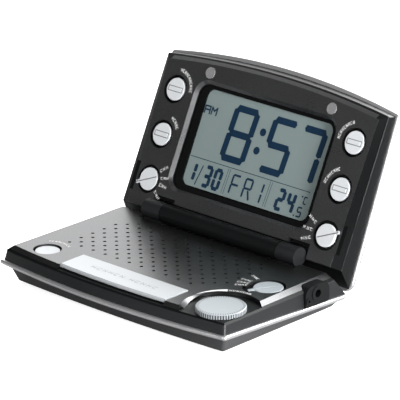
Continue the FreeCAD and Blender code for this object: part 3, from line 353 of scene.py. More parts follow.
def masked_lacquer(name, colour, level_axis, top, side_reach):
    """Gunmetal plate whose bevels beyond the side reach are black plastic, and whose recess floors are coloured
    black as painted shade.
    """
    made, tree, shader = new_material(name, 0.0, Specular_IOR_Level=0.14)
    place, parts = tree.nodes.new("ShaderNodeTexCoord"), tree.nodes.new("ShaderNodeSeparateXYZ")
    level = tree.nodes.new("ShaderNodeVectorMath")
    level.operation = "DOT_PRODUCT"
    level.inputs[1].default_value = level_axis
    tree.links.new(place.outputs["Object"], level.inputs[0])
    tree.links.new(place.outputs["Object"], parts.inputs["Vector"])
    # Painted shade: everything deeper than 1.53 mm below the top, the recess floors, gets the black colour.
    recess = math_node(tree, "LESS_THAN", level.outputs["Value"], top - 1.53 * MM)
    beside = math_node(tree, "GREATER_THAN", math_node(tree, "ABSOLUTE", parts.outputs["X"], 0.0), side_reach)
    sloped = math_node(tree, "LESS_THAN", level.outputs["Value"], top - 0.03 * MM)
    # The black is real on the side bevels and painted shade in the recesses.
    black_bevel_and_shade = math_node(tree, "MAXIMUM", recess, math_node(tree, "MULTIPLY", beside, sloped))
    paint = flaked_paint(tree, colour, PAINT_ROUGH, PAINT_SPARKLE)
    plastic = place_group(tree, GRAIN, Base=(*BLACK, 1), Drift=0.25)
    tint = tree.nodes.new("ShaderNodeMix")
    tint.data_type = "RGBA"
    tree.links.new(black_bevel_and_shade, tint.inputs["Factor"])
    tree.links.new(paint.outputs["Color"], tint.inputs["A"])
    tree.links.new(plastic.outputs["Color"], tint.inputs["B"])
    tree.links.new(tint.outputs["Result"], shader.inputs["Base Color"])
    duller = math_node(tree, "MULTIPLY", black_bevel_and_shade, PLASTIC_ROUGH - PAINT_ROUGH)
    tree.links.new(math_node(tree, "ADD", paint.outputs["Roughness"], duller), shader.inputs["Roughness"])
    loss = math_node(tree, "MULTIPLY", black_bevel_and_shade, PAINT_METAL)
    tree.links.new(math_node(tree, "SUBTRACT", PAINT_METAL, loss), shader.inputs["Metallic"])
    add_bump(tree, shader, paint.outputs["Height"])
    return made


def grooved_silver():
    """Silver dial whose rim grooves, inside its radius and below its top bevel, are darkened as painted shade."""
    rim, bevel, groove_shade = 10.84 * MM, 0.42 * MM, 0.85
    made, tree, shader = new_material("dial_silver", 0.2)
    place, parts = tree.nodes.new("ShaderNodeTexCoord"), tree.nodes.new("ShaderNodeSeparateXYZ")
    centre = Vector((DIAL[0], HINGE.y + DIAL[1], 0))
    flat, reach = tree.nodes.new("ShaderNodeVectorMath"), tree.nodes.new("ShaderNodeVectorMath")
    flat.operation, reach.operation = "MULTIPLY", "DISTANCE"
    flat.inputs[1].default_value, reach.inputs[1].default_value = (1, 1, 0), centre
    tree.links.new(place.outputs["Object"], flat.inputs[0])
    tree.links.new(flat.outputs[0], reach.inputs[0])
    tree.links.new(place.outputs["Object"], parts.inputs["Vector"])
    inside = math_node(tree, "LESS_THAN", reach.outputs["Value"], rim)
    below = math_node(tree, "LESS_THAN", parts.outputs["Z"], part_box("volume_dial")[1].z - bevel)
    groove = math_node(tree, "MULTIPLY", inside, below)
    grain = place_group(tree, GRAIN, Base=(0.355, 0.385, 0.405, 1), Drift=0.1, Rough=0.42, Rough_Spread=0.1,
                        Grain_Scale=3000.0)
    shade = tree.nodes.new("ShaderNodeVectorMath")
    shade.operation = "SCALE"
    tree.links.new(grain.outputs["Color"], shade.inputs[0])
    # Painted shade: the colour inside the grooves is darkened by the groove shade share.
    tree.links.new(math_node(tree, "SUBTRACT", 1.0, math_node(tree, "MULTIPLY", groove, groove_shade)),
                   shade.inputs["Scale"])
    tree.links.new(shade.outputs[0], shader.inputs["Base Color"])
    tree.links.new(grain.outputs["Roughness"], shader.inputs["Roughness"])
    add_bump(tree, shader, grain.outputs["Height"])
    return made


def turned_steel():
    """Plated steel with fine drawing lines along X."""
    made, tree, shader = new_material("plated_steel", 1.0)
    place = tree.nodes.new("ShaderNodeTexCoord")
    squeeze = tree.nodes.new("ShaderNodeMapping")
    squeeze.inputs["Scale"].default_value = (60, 3000, 3000)
    lines = tree.nodes.new("ShaderNodeTexNoise")
    lines.inputs["Scale"].default_value = 1.0
    lines.inputs["Detail"].default_value = 3.0
    tree.links.new(place.outputs["Object"], squeeze.inputs["Vector"])
    tree.links.new(squeeze.outputs["Vector"], lines.inputs["Vector"])
    tone = tree.nodes.new("ShaderNodeValToRGB")
    tone.color_ramp.elements[0].color = (0.42, 0.42, 0.43, 1)
    tone.color_ramp.elements[1].color = (0.66, 0.66, 0.67, 1)
    tree.links.new(lines.outputs["Fac"], tone.inputs["Fac"])
    tree.links.new(tone.outputs["Color"], shader.inputs["Base Color"])
    tree.links.new(math_node(tree, "ADD", math_node(tree, "MULTIPLY", lines.outputs["Fac"], 0.2), 0.2),
                   shader.inputs["Roughness"])
    return made


def liquid_crystal():
    """Grey-green display glass over a fine-grained reflector."""
    made, tree, shader = new_material("display_cell", 0.0, Specular_IOR_Level=0.35)
    grain = place_group(tree, GRAIN, Base=(*LCD_GROUND, 1), Drift=0.05, Rough=0.36, Rough_Spread=0.04,
                        Grain_Scale=6000.0, Grain_Height=0.002 * MM)
    tree.links.new(grain.outputs["Color"], shader.inputs["Base Color"])
    tree.links.new(grain.outputs["Roughness"], shader.inputs["Roughness"])
    add_bump(tree, shader, grain.outputs["Height"])
    return made


def clear_window():
    """Clear acrylic with a faint smear."""
    made, tree, shader = new_material("display_window", 0.0, Alpha=0.07, IOR=1.49)
    smear = math_node(tree, "ADD", math_node(tree, "MULTIPLY", noise(tree, 60.0), 0.08), 0.03)
    tree.links.new(smear, shader.inputs["Roughness"])
    shader.inputs["Base Color"].default_value = (0.02, 0.03, 0.03, 1)
    return made


def circuit_board():
    """Green solder mask with faint copper runs."""
    made, tree, shader = new_material("circuit_board", 0.0)
    place = tree.nodes.new("ShaderNodeTexCoord")
    runs = tree.nodes.new("ShaderNodeTexBrick")
    runs.inputs["Scale"].default_value = 260.0
    runs.inputs["Mortar Size"].default_value = 0.035
    runs.inputs["Color1"].default_value = (0.01, 0.10, 0.035, 1)
    runs.inputs["Color2"].default_value = (0.012, 0.13, 0.045, 1)
    runs.inputs["Mortar"].default_value = (0.05, 0.26, 0.09, 1)
    tree.links.new(place.outputs["Object"], runs.inputs["Vector"])
    tree.links.new(runs.outputs["Color"], shader.inputs["Base Color"])
    tree.links.new(math_node(tree, "ADD", math_node(tree, "MULTIPLY", noise(tree, 400.0), 0.2), 0.25),
                   shader.inputs["Roughness"])
    return made


def cell_sleeve():
    """Printed battery sleeve: dark blue with a copper-coloured end."""
    made, tree, shader = new_material("cell_sleeve", 0.6)
    place = tree.nodes.new("ShaderNodeTexCoord")
    parts = tree.nodes.new("ShaderNodeSeparateXYZ")
    tree.links.new(place.outputs["Object"], parts.inputs["Vector"])
    low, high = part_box("battery_cells")
    span = math_node(tree, "DIVIDE", math_node(tree, "SUBTRACT", parts.outputs["Y"], low.y), high.y - low.y)
    bands = tree.nodes.new("ShaderNodeValToRGB")
    bands.color_ramp.interpolation = "CONSTANT"
    bands.color_ramp.elements[0].color = (0.02, 0.05, 0.16, 1)
    bands.color_ramp.elements[1].position = 0.68
    bands.color_ramp.elements[1].color = (0.55, 0.27, 0.11, 1)
    tree.links.new(span, bands.inputs["Fac"])
    grain = place_group(tree, GRAIN, Drift=0.1, Rough=0.28, Rough_Spread=0.1)
    tree.links.new(bands.outputs["Color"], grain.inputs["Base"])
    tree.links.new(grain.outputs["Color"], shader.inputs["Base Color"])
    tree.links.new(grain.outputs["Roughness"], shader.inputs["Roughness"])
    return made


def wound_copper():
    """Fine enamelled wire, turn by turn."""
    made, tree, shader = new_material("wound_copper", 1.0)
    place = tree.nodes.new("ShaderNodeTexCoord")
    turns = tree.nodes.new("ShaderNodeTexWave")
    turns.wave_profile = "SIN"
    turns.inputs["Scale"].default_value = 700.0
    tree.links.new(place.outputs["Object"], turns.inputs["Vector"])
    tone = tree.nodes.new("ShaderNodeValToRGB")
    tone.color_ramp.elements[0].color = (0.18, 0.06, 0.02, 1)
    tone.color_ramp.elements[1].color = (0.75, 0.32, 0.13, 1)
    tree.links.new(turns.outputs["Fac"], tone.inputs["Fac"])
    tree.links.new(tone.outputs["Color"], shader.inputs["Base Color"])
    shader.inputs["Roughness"].default_value = 0.3
    add_bump(tree, shader, math_node(tree, "MULTIPLY", turns.outputs["Fac"], 0.1 * MM))
    return made


GUNMETAL, DECK_GUNMETAL, BLACK = (0.19, 0.193, 0.196), (0.115, 0.117, 0.119), (0.005, 0.0058, 0.006)
PAINT_ROUGH, PAINT_METAL, PAINT_SPARKLE, PLASTIC_ROUGH = 0.29, 0.97, 0.3, 0.33
# Painted shade: the lid buttons' silver, darkened, for the snooze bar and the alarm button on the deck.
SHADED_KEY_SILVER = (0.44, 0.46, 0.475)
LCD_GROUND = (0.27, 0.335, 0.33)

# Finish of each material slot.
FINISHES = {
    "black_case": skin("black_case", BLACK, PLASTIC_ROUGH, drift=0.25, height=0.012 * MM,
                       Specular_IOR_Level=0.24),
    "gunmetal_lacquer": lacquer("gunmetal_lacquer", GUNMETAL, PAINT_ROUGH, PAINT_METAL, PAINT_SPARKLE),
    "silver_trim": lacquer("silver_trim", (0.66, 0.66, 0.67), 0.3, 0.8, 0.12),
    "graphite_shell": lacquer("graphite_shell", (0.10, 0.102, 0.105), 0.4, 0.35, 0.3),
    "silver_button": skin("silver_button", (0.71, 0.73, 0.75), 0.4, 0.1, drift=0.06, scale=3500.0,
                          height=0.01 * MM),
    "display_glass": clear_window(),
    "display_cell": liquid_crystal(),
    "clear_acrylic": skin("clear_acrylic", (0.72, 0.75, 0.71), 0.25, drift=0.05),
    "board": circuit_board(),
    "switch_plastic": skin("switch_plastic", (0.022, 0.022, 0.025), 0.4),
    "steel": turned_steel(),
    "spring_metal": skin("contact_metal", (0.62, 0.50, 0.24), 0.3, 1.0, drift=0.2),
    "copper": wound_copper(),
    "ferrite": skin("ferrite", (0.05, 0.05, 0.052), 0.6, drift=0.3, height=0.04 * MM),
    "cone_paper": skin("cone_paper", (0.035, 0.035, 0.034), 0.85, drift=0.4, scale=1800.0, height=0.08 * MM),
    "cell_sleeve": cell_sleeve(),
    "rubber": skin("black_rubber", (0.02, 0.02, 0.02), 0.75, drift=0.2, height=0.04 * MM),
    "grey_rubber": skin("grey_rubber", (0.205, 0.205, 0.21), 0.7, drift=0.12, height=0.03 * MM),
    "cable_sheath": skin("cable_sheath", (0.03, 0.03, 0.032), 0.6),
}
WHITE_INK = skin("white_ink", (0.80, 0.81, 0.80), 0.5, drift=0.08)
PALE_INK = skin("pale_ink", (0.62, 0.62, 0.60), 0.5, drift=0.08)
GREY_INK = skin("grey_ink", (0.30, 0.31, 0.33), 0.5, drift=0.08)
DARK_INK_AND_SHADE = skin("dark_ink_and_shade", (0.13, 0.135, 0.14), 0.5, drift=0.08)
LCD_INK = skin("display_ink", (0.004, 0.026, 0.065), 0.35, drift=0.15, Specular_IOR_Level=0.3)

# Nodes whose finish differs from their slot's.
face_top = max(v.co.dot(OUT) for v in frame["nodes"]["face_plate"].data.vertices)
deck_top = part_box("deck_plate")[1].z
LID_PAINT_REACH, NO_BEVEL = 60.4 * MM, 1.0
SPECIAL_FINISHES = {
    "display_bezel": skin("bezel_black", (0.002, 0.0022, 0.0024), 0.18, drift=0.2, height=0.003 * MM),
    "base_upper_case": skin("black_upper_case", (0.012, 0.013, 0.014), 0.4, drift=0.25, height=0.012 * MM,
                            Specular_IOR_Level=0.4),
    "volume_dial": grooved_silver(),
    # Snooze bar and alarm button take the darkened silver: painted shade.
    "snooze_bar": skin("snooze_shaded_silver", SHADED_KEY_SILVER, 0.4, 0.1, drift=0.06, height=0.01 * MM),
    "alarm_button": skin("alarm_shaded_silver", SHADED_KEY_SILVER, 0.4, 0.1, drift=0.06, height=0.01 * MM),
    "band_selector": skin("selector_silver", (0.42, 0.465, 0.49), 0.42, 0.2, drift=0.1, height=0.01 * MM),
    # The lid and deck lacquers colour their recess floors black: painted shade.
    "face_plate": masked_lacquer("lid_lacquer", GUNMETAL, OUT, face_top, LID_PAINT_REACH),
    "deck_plate": masked_lacquer("deck_lacquer", DECK_GUNMETAL, Vector((0, 0, 1)), deck_top, NO_BEVEL),
}

for entry in frame["record"]["subparts"]:
    cad_part = frame["nodes"][entry["node"]]
    finish = SPECIAL_FINISHES.get(entry["node"], FINISHES[entry["material_slot"]])
    if cad_part.material_slots:
        for place in cad_part.material_slots:
            place.material = finish
    else:
        cad_part.data.materials.append(finish)


# --- display --------------------------------------------------------------------------------------

# Which of the seven bars each figure lights, clockwise from the top one, with the middle one last.
LIT = {"0": "1111110", "1": "0110000", "2": "1101101", "3": "1111001", "4": "0110011",
       "5": "1011011", "6": "1011111", "7": "1110000", "8": "1111111", "F": "1000111", "C": "1001110"}
SLANT = math.radians(2.5)
UPRIGHT = math.pi / 2 - SLANT


def seven_bars(figure, left, low, width, height, stroke):
    """Bars of one figure, as flat pieces in the lid's plane; their points stop short of each other."""
    right, top, middle = left + width, low + height, low + height / 2
    inner_left, inner_right = left + stroke / 2, right - stroke / 2
    across = width - stroke * 0.82
    rise = height / 2 - stroke * 0.54
    centre_x = (left + right) / 2
    upper, lower = middle + (height - stroke) / 4, middle - (height - stroke) / 4
    spots = [((centre_x, top - stroke / 2), across, False), ((inner_right, upper), rise, True),
             ((inner_right, lower), rise, True), ((centre_x, low + stroke / 2), across, False),
             ((inner_left, lower), rise, True), ((inner_left, upper), rise, True),
             ((centre_x, middle), across, False)]
    bars = []
    for lit, (spot, length, upright) in zip(LIT[figure], spots):
        if lit == "1":
            lean = (spot[1] - low) * math.tan(SLANT)
            bars.append(bar(length, stroke, (spot[0] + lean, spot[1]), UPRIGHT if upright else 0.0))
    return bars


def figures(text, left, low, width, height, stroke, pitch=0.0):
    """Several figures in a row, one pitch apart."""
    bars = []
    for place, figure in enumerate(text):
        bars += seven_bars(figure, left + place * pitch, low, width, height, stroke)
    return bars


def on_display(name, parts):
    """Prints flat pieces on the display, where they move with the lid."""
    thin_layer(name, parts, LID, LCD_LEVEL, LCD_INK, "lid")


def stroke(start, end, width):
    """Round-ended bar from one point to another."""
    (x0, y0), (x1, y1) = start, end
    length = math.hypot(x1 - x0, y1 - y0) + width
    return bar(length, width, ((x0 + x1) / 2, (y0 + y1) / 2), math.atan2(y1 - y0, x1 - x0), pointed=False)


def lid_top(name):
    """How far a node of the lid reaches out from the hinge line, square to the lid."""
    return max((v.co - HINGE).dot(OUT) for v in frame["nodes"][name].data.vertices)


LCD_LEVEL = lid_top("display_panel") + LAYER_LIFT

# Time, in large figures.
time_size = {"low": 29.9 * MM, "height": 25.8 * MM, "stroke": 3.1 * MM}
time_parts = figures("8", -19.9 * MM, width=15.0 * MM, **time_size)
time_parts += [dot(1.75 * MM, (0.3 * MM, 46.9 * MM)), dot(1.75 * MM, (-0.2 * MM, 38.4 * MM))]
time_parts += figures("57", 2.9 * MM, width=14.9 * MM, pitch=17.0 * MM, **time_size)
on_display("time_figures", time_parts)

# Lower row: date, weekday and temperature.
ROW_LOW, ROW_TALL = 15.9 * MM, 10.2 * MM
ROW_STROKE, THIN_STROKE = 1.75 * MM, 1.0 * MM
date_parts = figures("1", -34.4 * MM, ROW_LOW + 0.8 * MM, 4.6 * MM, ROW_TALL - 0.8 * MM, ROW_STROKE)
date_parts.append(bar(9.6 * MM, 0.55 * MM, (-27.6 * MM, 20.6 * MM), math.radians(78)))
date_parts += figures("30", -25.4 * MM, ROW_LOW, 4.9 * MM, ROW_TALL, ROW_STROKE, 5.8 * MM)
on_display("date_figures", date_parts)

day_parts = figures("FF", -9.1 * MM, ROW_LOW + 0.5 * MM, 5.0 * MM, ROW_TALL - 0.7 * MM, THIN_STROKE, 7.5 * MM)
for length, x, y, angle in ((4.2, 3.2, 23.2, UPRIGHT), (4.6, 2.5, 18.4, math.radians(112)),
                            (4.0, 9.6, 23.4, UPRIGHT), (4.0, 9.4, 18.7, UPRIGHT)):
    day_parts.append(bar(length * MM, THIN_STROKE, (x * MM, y * MM), angle))
on_display("weekday_figures", day_parts)

degree_parts = figures("24", 17.9 * MM, ROW_LOW, 4.9 * MM, ROW_TALL, ROW_STROKE, 6.1 * MM)
degree_parts += figures("5", 31.0 * MM, ROW_LOW, 3.0 * MM, 4.8 * MM, 0.75 * MM)
degree_parts += figures("C", 33.0 * MM, 22.0 * MM, 2.2 * MM, 3.6 * MM, 0.6 * MM)
degree_parts += [dot(0.42 * MM, (32.1 * MM, 25.2 * MM)), dot(0.4 * MM, (30.2 * MM, ROW_LOW + 0.4 * MM))]
on_display("temperature_figures", degree_parts)

rules = [bar(71 * MM, 0.32 * MM, (0, 27.9 * MM), 0.0)]
for x in (-12.4, -11.2, 12.4, 13.6):
    rules.append(bar(11.6 * MM, 0.2 * MM, (x * MM, 21.6 * MM), UPRIGHT))
on_display("display_rules", rules)


def morning_sign():
    """Two capitals, A and M, drawn with strokes."""
    low, mid, high, wide, thick = 48.0 * MM, 49.6 * MM, 51.2 * MM, 2.9 * MM, 0.75 * MM
    first, second = -35.3 * MM, -31.3 * MM
    lines = [((left, low), (left, high)) for left in (first, first + wide, second, second + wide)]
    lines += [((first, high), (first + wide, high)), ((first, mid), (first + wide, mid)),
              ((second, high), (second + wide / 2, mid)), ((second + wide / 2, mid), (second + wide, high))]
    return [stroke(start, end, thick) for start, end in lines]


on_display("morning_sign", morning_sign())

# --- print, and painted shade round the lid buttons' ridges ---------------------------------------


def glyph(centre, turn, tall, wide, kind):
    """One tiny stand-in for a letter: two uprights and a cross bar, or an upright with two arms."""
    side, up = Vector((math.cos(turn), math.sin(turn))), Vector((-math.sin(turn), math.cos(turn)))
    centre = Vector(centre)
    thin = tall * 0.2
    left, right = centre - side * wide / 2, centre + side * wide / 2
    foot, head = up * -tall / 2, up * tall / 2
    strokes = [stroke(left + foot, left + head, thin)]
    if kind == 0:
        strokes += [stroke(right + foot, right + head, thin), stroke(left, right, thin)]
    elif kind == 1:
        strokes += [stroke(left + head, right + head, thin), stroke(left + foot, right + foot, thin)]
    else:
        strokes += [stroke(left + head, right + foot, thin), stroke(right + foot, right + head, thin)]
    return strokes


def arc_marks(centre, radius, first, last, count, tall=1.3 * MM):
    """Row of tiny glyphs that follows a circle and reads from its first direction to its last."""
    marks = []
    pitch = abs(math.radians(last - first)) * radius / (count - 1)
    for step in range(count):
        turn = math.radians(first + (last - first) * step / (count - 1))
        spot = (centre[0] + radius * math.cos(turn), centre[1] + radius * math.sin(turn))
        marks += glyph(spot, turn - math.pi / 2, tall, pitch * 0.5, step % 3)
    return marks


def run_marks(centre, turn, near, far, count, tall=1.15 * MM):
    """Row of tiny glyphs along a spoke of a selector."""
    marks = []
    turn = math.radians(turn)
    pitch = (far - near) / (count - 1)
    tilt = turn if math.cos(turn) > 0 else turn + math.pi
    for step in range(count):
        reach = near + pitch * step
        spot = (centre[0] + reach * math.cos(turn), centre[1] + reach * math.sin(turn))
        marks += glyph(spot, tilt, tall, pitch * 0.5, (step + 1) % 3)
    return marks


FACE_LEVEL = DECK_TOP + LAYER_LIFT

# Words round the push buttons of the lid, then words along its selectors.
lid_marks = []
for x, y, first, last, count in ((-52.8, 54.1, 86, 4, 11), (-52.8, 33.1, 66, 30, 5),
                                 (52.8, 54.1, 178, 112, 9), (52.8, 33.1, 172, 112, 8)):
    lid_marks += arc_marks((x * MM, y * MM), 8.9 * MM, first, last, count)
for turn in (40, 14, -8, -38):
    lid_marks += run_marks((-52.6 * MM, 12.3 * MM), turn, 7.9 * MM, 11.2 * MM, 3)
for turn in (150, 176, 200):
    lid_marks += run_marks((52.6 * MM, 12.3 * MM), turn, 8.2 * MM, 12.2 * MM, 3)
thin_layer("lid_marks", lid_marks, LID, FACE_LEVEL, WHITE_INK, "lid")

# Loudness wedge and word round the dial, and the words of the band selector.
deck_marks = [growing_stripe(DIAL, 17.8 * MM, 20.0 * MM, 168, 124)]
deck_marks += arc_marks(DIAL, 18.9 * MM, 120, 92, 7, 1.15 * MM)
for turn in (212, 198, 183, 160):
    deck_marks += run_marks(BAND, turn, 9.6 * MM, 14.0 * MM, 4)
thin_layer("deck_marks", deck_marks, DECK, FACE_LEVEL, WHITE_INK, "base")
alarm_marks = arc_marks((-48 * MM, -60.2 * MM), 9.6 * MM, 128, 60, 9, 1.2 * MM)
thin_layer("alarm_marks", alarm_marks, DECK, FACE_LEVEL, PALE_INK, "base")

# Two words on the snooze bar.
snooze_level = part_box("snooze_bar")[1].z - HINGE.z + LAYER_LIFT
snooze_marks = []
for left, count in ((-17.4, 6), (5.2, 5)):
    for step in range(count):
        snooze_marks += glyph(((left + 3.4 * step) * MM, -62.6 * MM), 0, 1.9 * MM, 1.7 * MM, step % 3)
thin_layer("snooze_marks", snooze_marks, DECK, snooze_level, GREY_INK, "snooze")

# Height of the ridge on each push button of the lid, and the width of the dark outline round it, which is painted
# shade at the ridge's foot.
RIDGE, HALF_LONG, HALF_TALL, RIDGE_SHADE_WIDTH = 0.3 * MM, 3.95 * MM, 1.1 * MM, 0.34 * MM
for name in ("year_button", "format_button", "month_button", "date_button"):
    crown = lid_top(name)
    button = [v.co - HINGE for v in frame["nodes"][name].data.vertices]
    ridge = [v for v in button if v.dot(OUT) > crown - RIDGE / 2]
    across, upward = [v.x for v in ridge], [v.dot(FREE) for v in ridge]
    centre = Vector((min(across) + max(across), min(upward) + max(upward))) / 2
    corners = [centre + Vector((x * HALF_LONG, y * HALF_TALL))
               for x, y in ((-1, -1), (1, -1), (1, 1), (-1, 1))]
    lines = [stroke(a, b, RIDGE_SHADE_WIDTH) for a, b in zip(corners, corners[1:] + corners[:1])]
    body = name.split("_")[0]
    # Painted shade: dark lines round the foot of each button's ridge.
    thin_layer(name + "_line", lines, LID, crown - RIDGE + LAYER_LIFT, DARK_INK_AND_SHADE, body)

# Pointer line across each selector of the lid, along its lever.
LEVER_TURN = math.radians(24)
for body, x, tip, tail in (("mode", -52.6, -6.6, 4.4), ("zone", 52.6, 6.6, -4.4)):
    along = Vector((math.cos(LEVER_TURN), math.sin(LEVER_TURN))) * MM
    centre = Vector((x, 12.3)) * MM
    line = stroke(centre + along * tip, centre + along * tail, 0.5 * MM)
    level = lid_top(body + "_selector") + LAYER_LIFT
    thin_layer(body + "_selector_line", [line], LID, level, DARK_INK_AND_SHADE, body)

# Fine ticks on the rim of the dial, one at each groove.
DIAL_GROOVES = 60
dial_ticks = []
for step in range(DIAL_GROOVES):
    turn = math.radians(step * 360 / DIAL_GROOVES)
    ray = Vector((math.cos(turn), math.sin(turn)))
    dial_ticks.append(stroke(Vector(DIAL) + ray * 9.5 * MM, Vector(DIAL) + ray * 10.25 * MM, 0.38 * MM))
dial_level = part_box("volume_dial")[1].z - HINGE.z + LAYER_LIFT
thin_layer("dial_ticks", dial_ticks, DECK, dial_level, DARK_INK_AND_SHADE, "volume")


def recess_slope():
    """Sloping side of the dial's recess: a wedge that follows the wall and fades out towards the back."""
    wall, lip, foot, reach = 17.57 * MM, -0.02 * MM, -1.73 * MM, 1.9 * MM
    back, front, thin_end = 152, 213, 0.04
    deselect()
    bpy.ops.mesh.primitive_circle_add(vertices=3, radius=MM, fill_type="NGON", rotation=(math.pi / 2, 0, 0))
    wedge = bpy.context.active_object
    bpy.ops.object.transform_apply(location=False, rotation=True, scale=False)
    corners = ((wall, lip), (wall, foot), (wall - reach, foot))
    for vertex, (x, z) in zip(wedge.data.vertices, corners):
        vertex.co = Vector((x, 0, z))
    edit(wedge)
    bpy.ops.mesh.select_all(action="SELECT")
    bpy.ops.mesh.spin(steps=20, angle=math.radians(front - back), center=(0, 0, 0), axis=(0, 0, -1))
    bpy.ops.mesh.select_all(action="SELECT")
    bpy.ops.mesh.normals_make_consistent(inside=False)
    leave_edit()
    for vertex in wedge.data.vertices:
        turned = abs(math.degrees(math.atan2(vertex.co.y, vertex.co.x))) / (front - back)
        share = thin_end + (1 - thin_end) * min(1.0, turned * 1.3)
        vertex.co.xy = vertex.co.xy.normalized() * (wall - (wall - vertex.co.xy.length) * share)
        vertex.co.z *= share
    wedge.data.transform(DECK @ Matrix.Translation((DIAL[0], DIAL[1], DECK_TOP))
                         @ Matrix.Rotation(math.radians(back), 4, "Z"))
    return new_name(wedge, "recess_slope")


slope = recess_slope()
slope.data.materials.append(FINISHES["gunmetal_lacquer"])
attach(slope, "base")

for pattern in (POINTED, ROUNDED):
    bpy.data.objects.remove(pattern)

# --- camera, floor and light ----------------------------------------------------------------------

CAMERA_TURN, CAMERA_RISE, CAMERA_ROLL = math.radians(43.09), math.radians(20.514), math.radians(-0.3265)
CAMERA_DISTANCE = 1.8551
CAMERA_AIM = Vector((-0.04021, HINGE.y + 0.02887, HINGE.z + DECK_TOP))
# Focal length and sensor width, in millimetres.
LENS, SENSOR = 371.76, 36
FLOOR_WHITE, FLOOR_GLOW, FLOOR_MIRRORED = 0.86, 0.72, 0.26
# Brightness of the room against the direction, from straight in front of the clock to straight behind it.
WALL_LEVELS = ((0.02, 0.0081), (0.68, 0.0044), (0.78, 0.02), (0.895, 0.048), (0.925, 0.14), (0.95, 1.0))
WALL_WAY, CORNER_WAY, ROOM_STRENGTH = (0.0, 0.9, 0.42), (-0.74, 0.64, 0.2), 12.0


def way_to(turn, rise):
    """Direction from the clock, turned from straight ahead towards its right and raised."""
    return Vector((math.sin(turn) * math.cos(rise), -math.cos(turn) * math.cos(rise), math.sin(rise)))


def aim_from(thing, spot, way, distance):
    """Puts a camera or lamp at a distance from a spot and points it there."""
    bpy.context.scene.collection.objects.link(thing)
    thing.location = spot + way * distance
    thing.rotation_mode = "QUATERNION"
    thing.rotation_quaternion = (-way).to_track_quat("-Z", "Y")


def smooth_rise(tree, value, low, high, top):
    """Value that rises smoothly from 0 below the low one to the top one above the high one."""
    rise = tree.nodes.new("ShaderNodeMapRange")
    rise.interpolation_type = "SMOOTHSTEP"
    for label, level in (("From Min", low), ("From Max", high), ("To Min", 0.0), ("To Max", top)):
        rise.inputs[label].default_value = level
    tree.links.new(value, rise.inputs["Value"])
    return rise.outputs["Result"]


def seen_or_mirrored(tree, seen, mirrored, output):
    """One look for the camera, and another for what the clock mirrors and is lit by."""
    ray, mix = tree.nodes.new("ShaderNodeLightPath"), tree.nodes.new("ShaderNodeMixShader")
    tree.links.new(ray.outputs["Is Camera Ray"], mix.inputs["Fac"])
    tree.links.new(mirrored, mix.inputs[1])
    tree.links.new(seen, mix.inputs[2])
    tree.links.new(mix.outputs[0], output.inputs["Surface"])


def add_camera():
    camera = bpy.data.objects.new("camera", bpy.data.cameras.new("camera"))
    aim_from(camera, CAMERA_AIM, way_to(CAMERA_TURN, CAMERA_RISE), CAMERA_DISTANCE)
    camera.rotation_quaternion = camera.rotation_quaternion @ Quaternion((0, 0, 1), CAMERA_ROLL)
    camera.data.lens, camera.data.sensor_width = LENS, SENSOR
    camera.data.clip_start, camera.data.clip_end = 0.05, 60
    bpy.context.scene.camera = camera


def add_floor():
    """Pale floor: white where it is looked at, and a soft grey for what the clock mirrors."""
    deselect()
    bpy.ops.mesh.primitive_plane_add(size=30)
    floor = new_name(bpy.context.active_object, "floor")
    made, tree, shader = new_material("pale_floor", 0.0, Specular_IOR_Level=0.1, Roughness=0.8,
                                      Base_Color=(FLOOR_WHITE, FLOOR_WHITE, FLOOR_WHITE, 1),
                                      Emission_Color=(1, 1, 1, 1), Emission_Strength=FLOOR_GLOW)
    dim, far_glow = tree.nodes.new("ShaderNodeBsdfDiffuse"), tree.nodes.new("ShaderNodeEmission")
    dim.inputs["Color"].default_value = (FLOOR_MIRRORED, FLOOR_MIRRORED, FLOOR_MIRRORED, 1)
    place, parts = tree.nodes.new("ShaderNodeTexCoord"), tree.nodes.new("ShaderNodeSeparateXYZ")
    tree.links.new(place.outputs["Object"], parts.inputs["Vector"])
    tree.links.new(smooth_rise(tree, parts.outputs["Y"], 0.18, 0.6, 0.85), far_glow.inputs["Strength"])
    both = tree.nodes.new("ShaderNodeAddShader")
    tree.links.new(dim.outputs[0], both.inputs[0])
    tree.links.new(far_glow.outputs[0], both.inputs[1])
    seen_or_mirrored(tree, shader.outputs[0], both.outputs[0], tree.nodes["Material Output"])
    floor.data.materials.append(made)


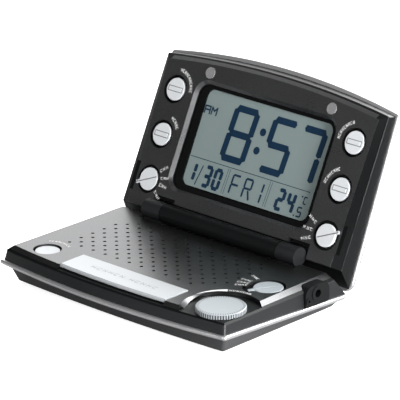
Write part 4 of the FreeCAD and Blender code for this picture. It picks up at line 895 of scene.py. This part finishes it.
def add_light(name, turn, rise, distance, size, power):
    """Round soft light, turned and raised in degrees."""
    lamp = bpy.data.objects.new(name, bpy.data.lights.new(name, "AREA"))
    aim_from(lamp, Vector((0, 0, 0.04)), way_to(math.radians(turn), math.radians(rise)), distance)
    lamp.data.shape = "DISK"
    lamp.data.size, lamp.data.energy = size, power


def along_way(tree, place, way):
    """How nearly a direction of the room points a given way, from -1 to 1."""
    node = tree.nodes.new("ShaderNodeVectorMath")
    node.operation = "DOT_PRODUCT"
    node.inputs[1].default_value = Vector(way).normalized()
    tree.links.new(place.outputs["Generated"], node.inputs[0])
    return node.outputs["Value"]


def add_room():
    """Dim room with a bright wall and a bright corner behind the clock, which its lacquer and metal mirror."""
    world = bpy.data.worlds.new("room")
    bpy.context.scene.world = world
    world.use_nodes = True
    tree = world.node_tree
    tree.nodes.clear()
    place = tree.nodes.new("ShaderNodeTexCoord")
    wall = tree.nodes.new("ShaderNodeValToRGB")
    for position, level in WALL_LEVELS:
        stop = wall.color_ramp.elements.new(position)
        stop.color = (level, level, level, 1)
    wall.color_ramp.elements.remove(wall.color_ramp.elements[0])
    wall.color_ramp.elements.remove(wall.color_ramp.elements[-1])
    half = math_node(tree, "MULTIPLY", along_way(tree, place, WALL_WAY), 0.5)
    tree.links.new(math_node(tree, "ADD", half, 0.5), wall.inputs["Fac"])
    both = tree.nodes.new("ShaderNodeVectorMath")
    tree.links.new(wall.outputs["Color"], both.inputs[0])
    tree.links.new(smooth_rise(tree, along_way(tree, place, CORNER_WAY), 0.88, 0.975, 0.17), both.inputs[1])
    room, seen = tree.nodes.new("ShaderNodeBackground"), tree.nodes.new("ShaderNodeBackground")
    tree.links.new(both.outputs[0], room.inputs["Color"])
    room.inputs["Strength"].default_value = ROOM_STRENGTH
    seen.inputs["Color"].default_value = (1, 1, 1, 1)
    seen_or_mirrored(tree, seen.outputs[0], room.outputs[0], tree.nodes.new("ShaderNodeOutputWorld"))


add_camera()
add_floor()
add_light("side_light", 80, 14, 1.1, 0.36, 24)
add_light("front_light", 0, 30, 1.5, 0.6, 8.5)
add_room()
bpy.context.scene.view_settings.view_transform = "Standard"
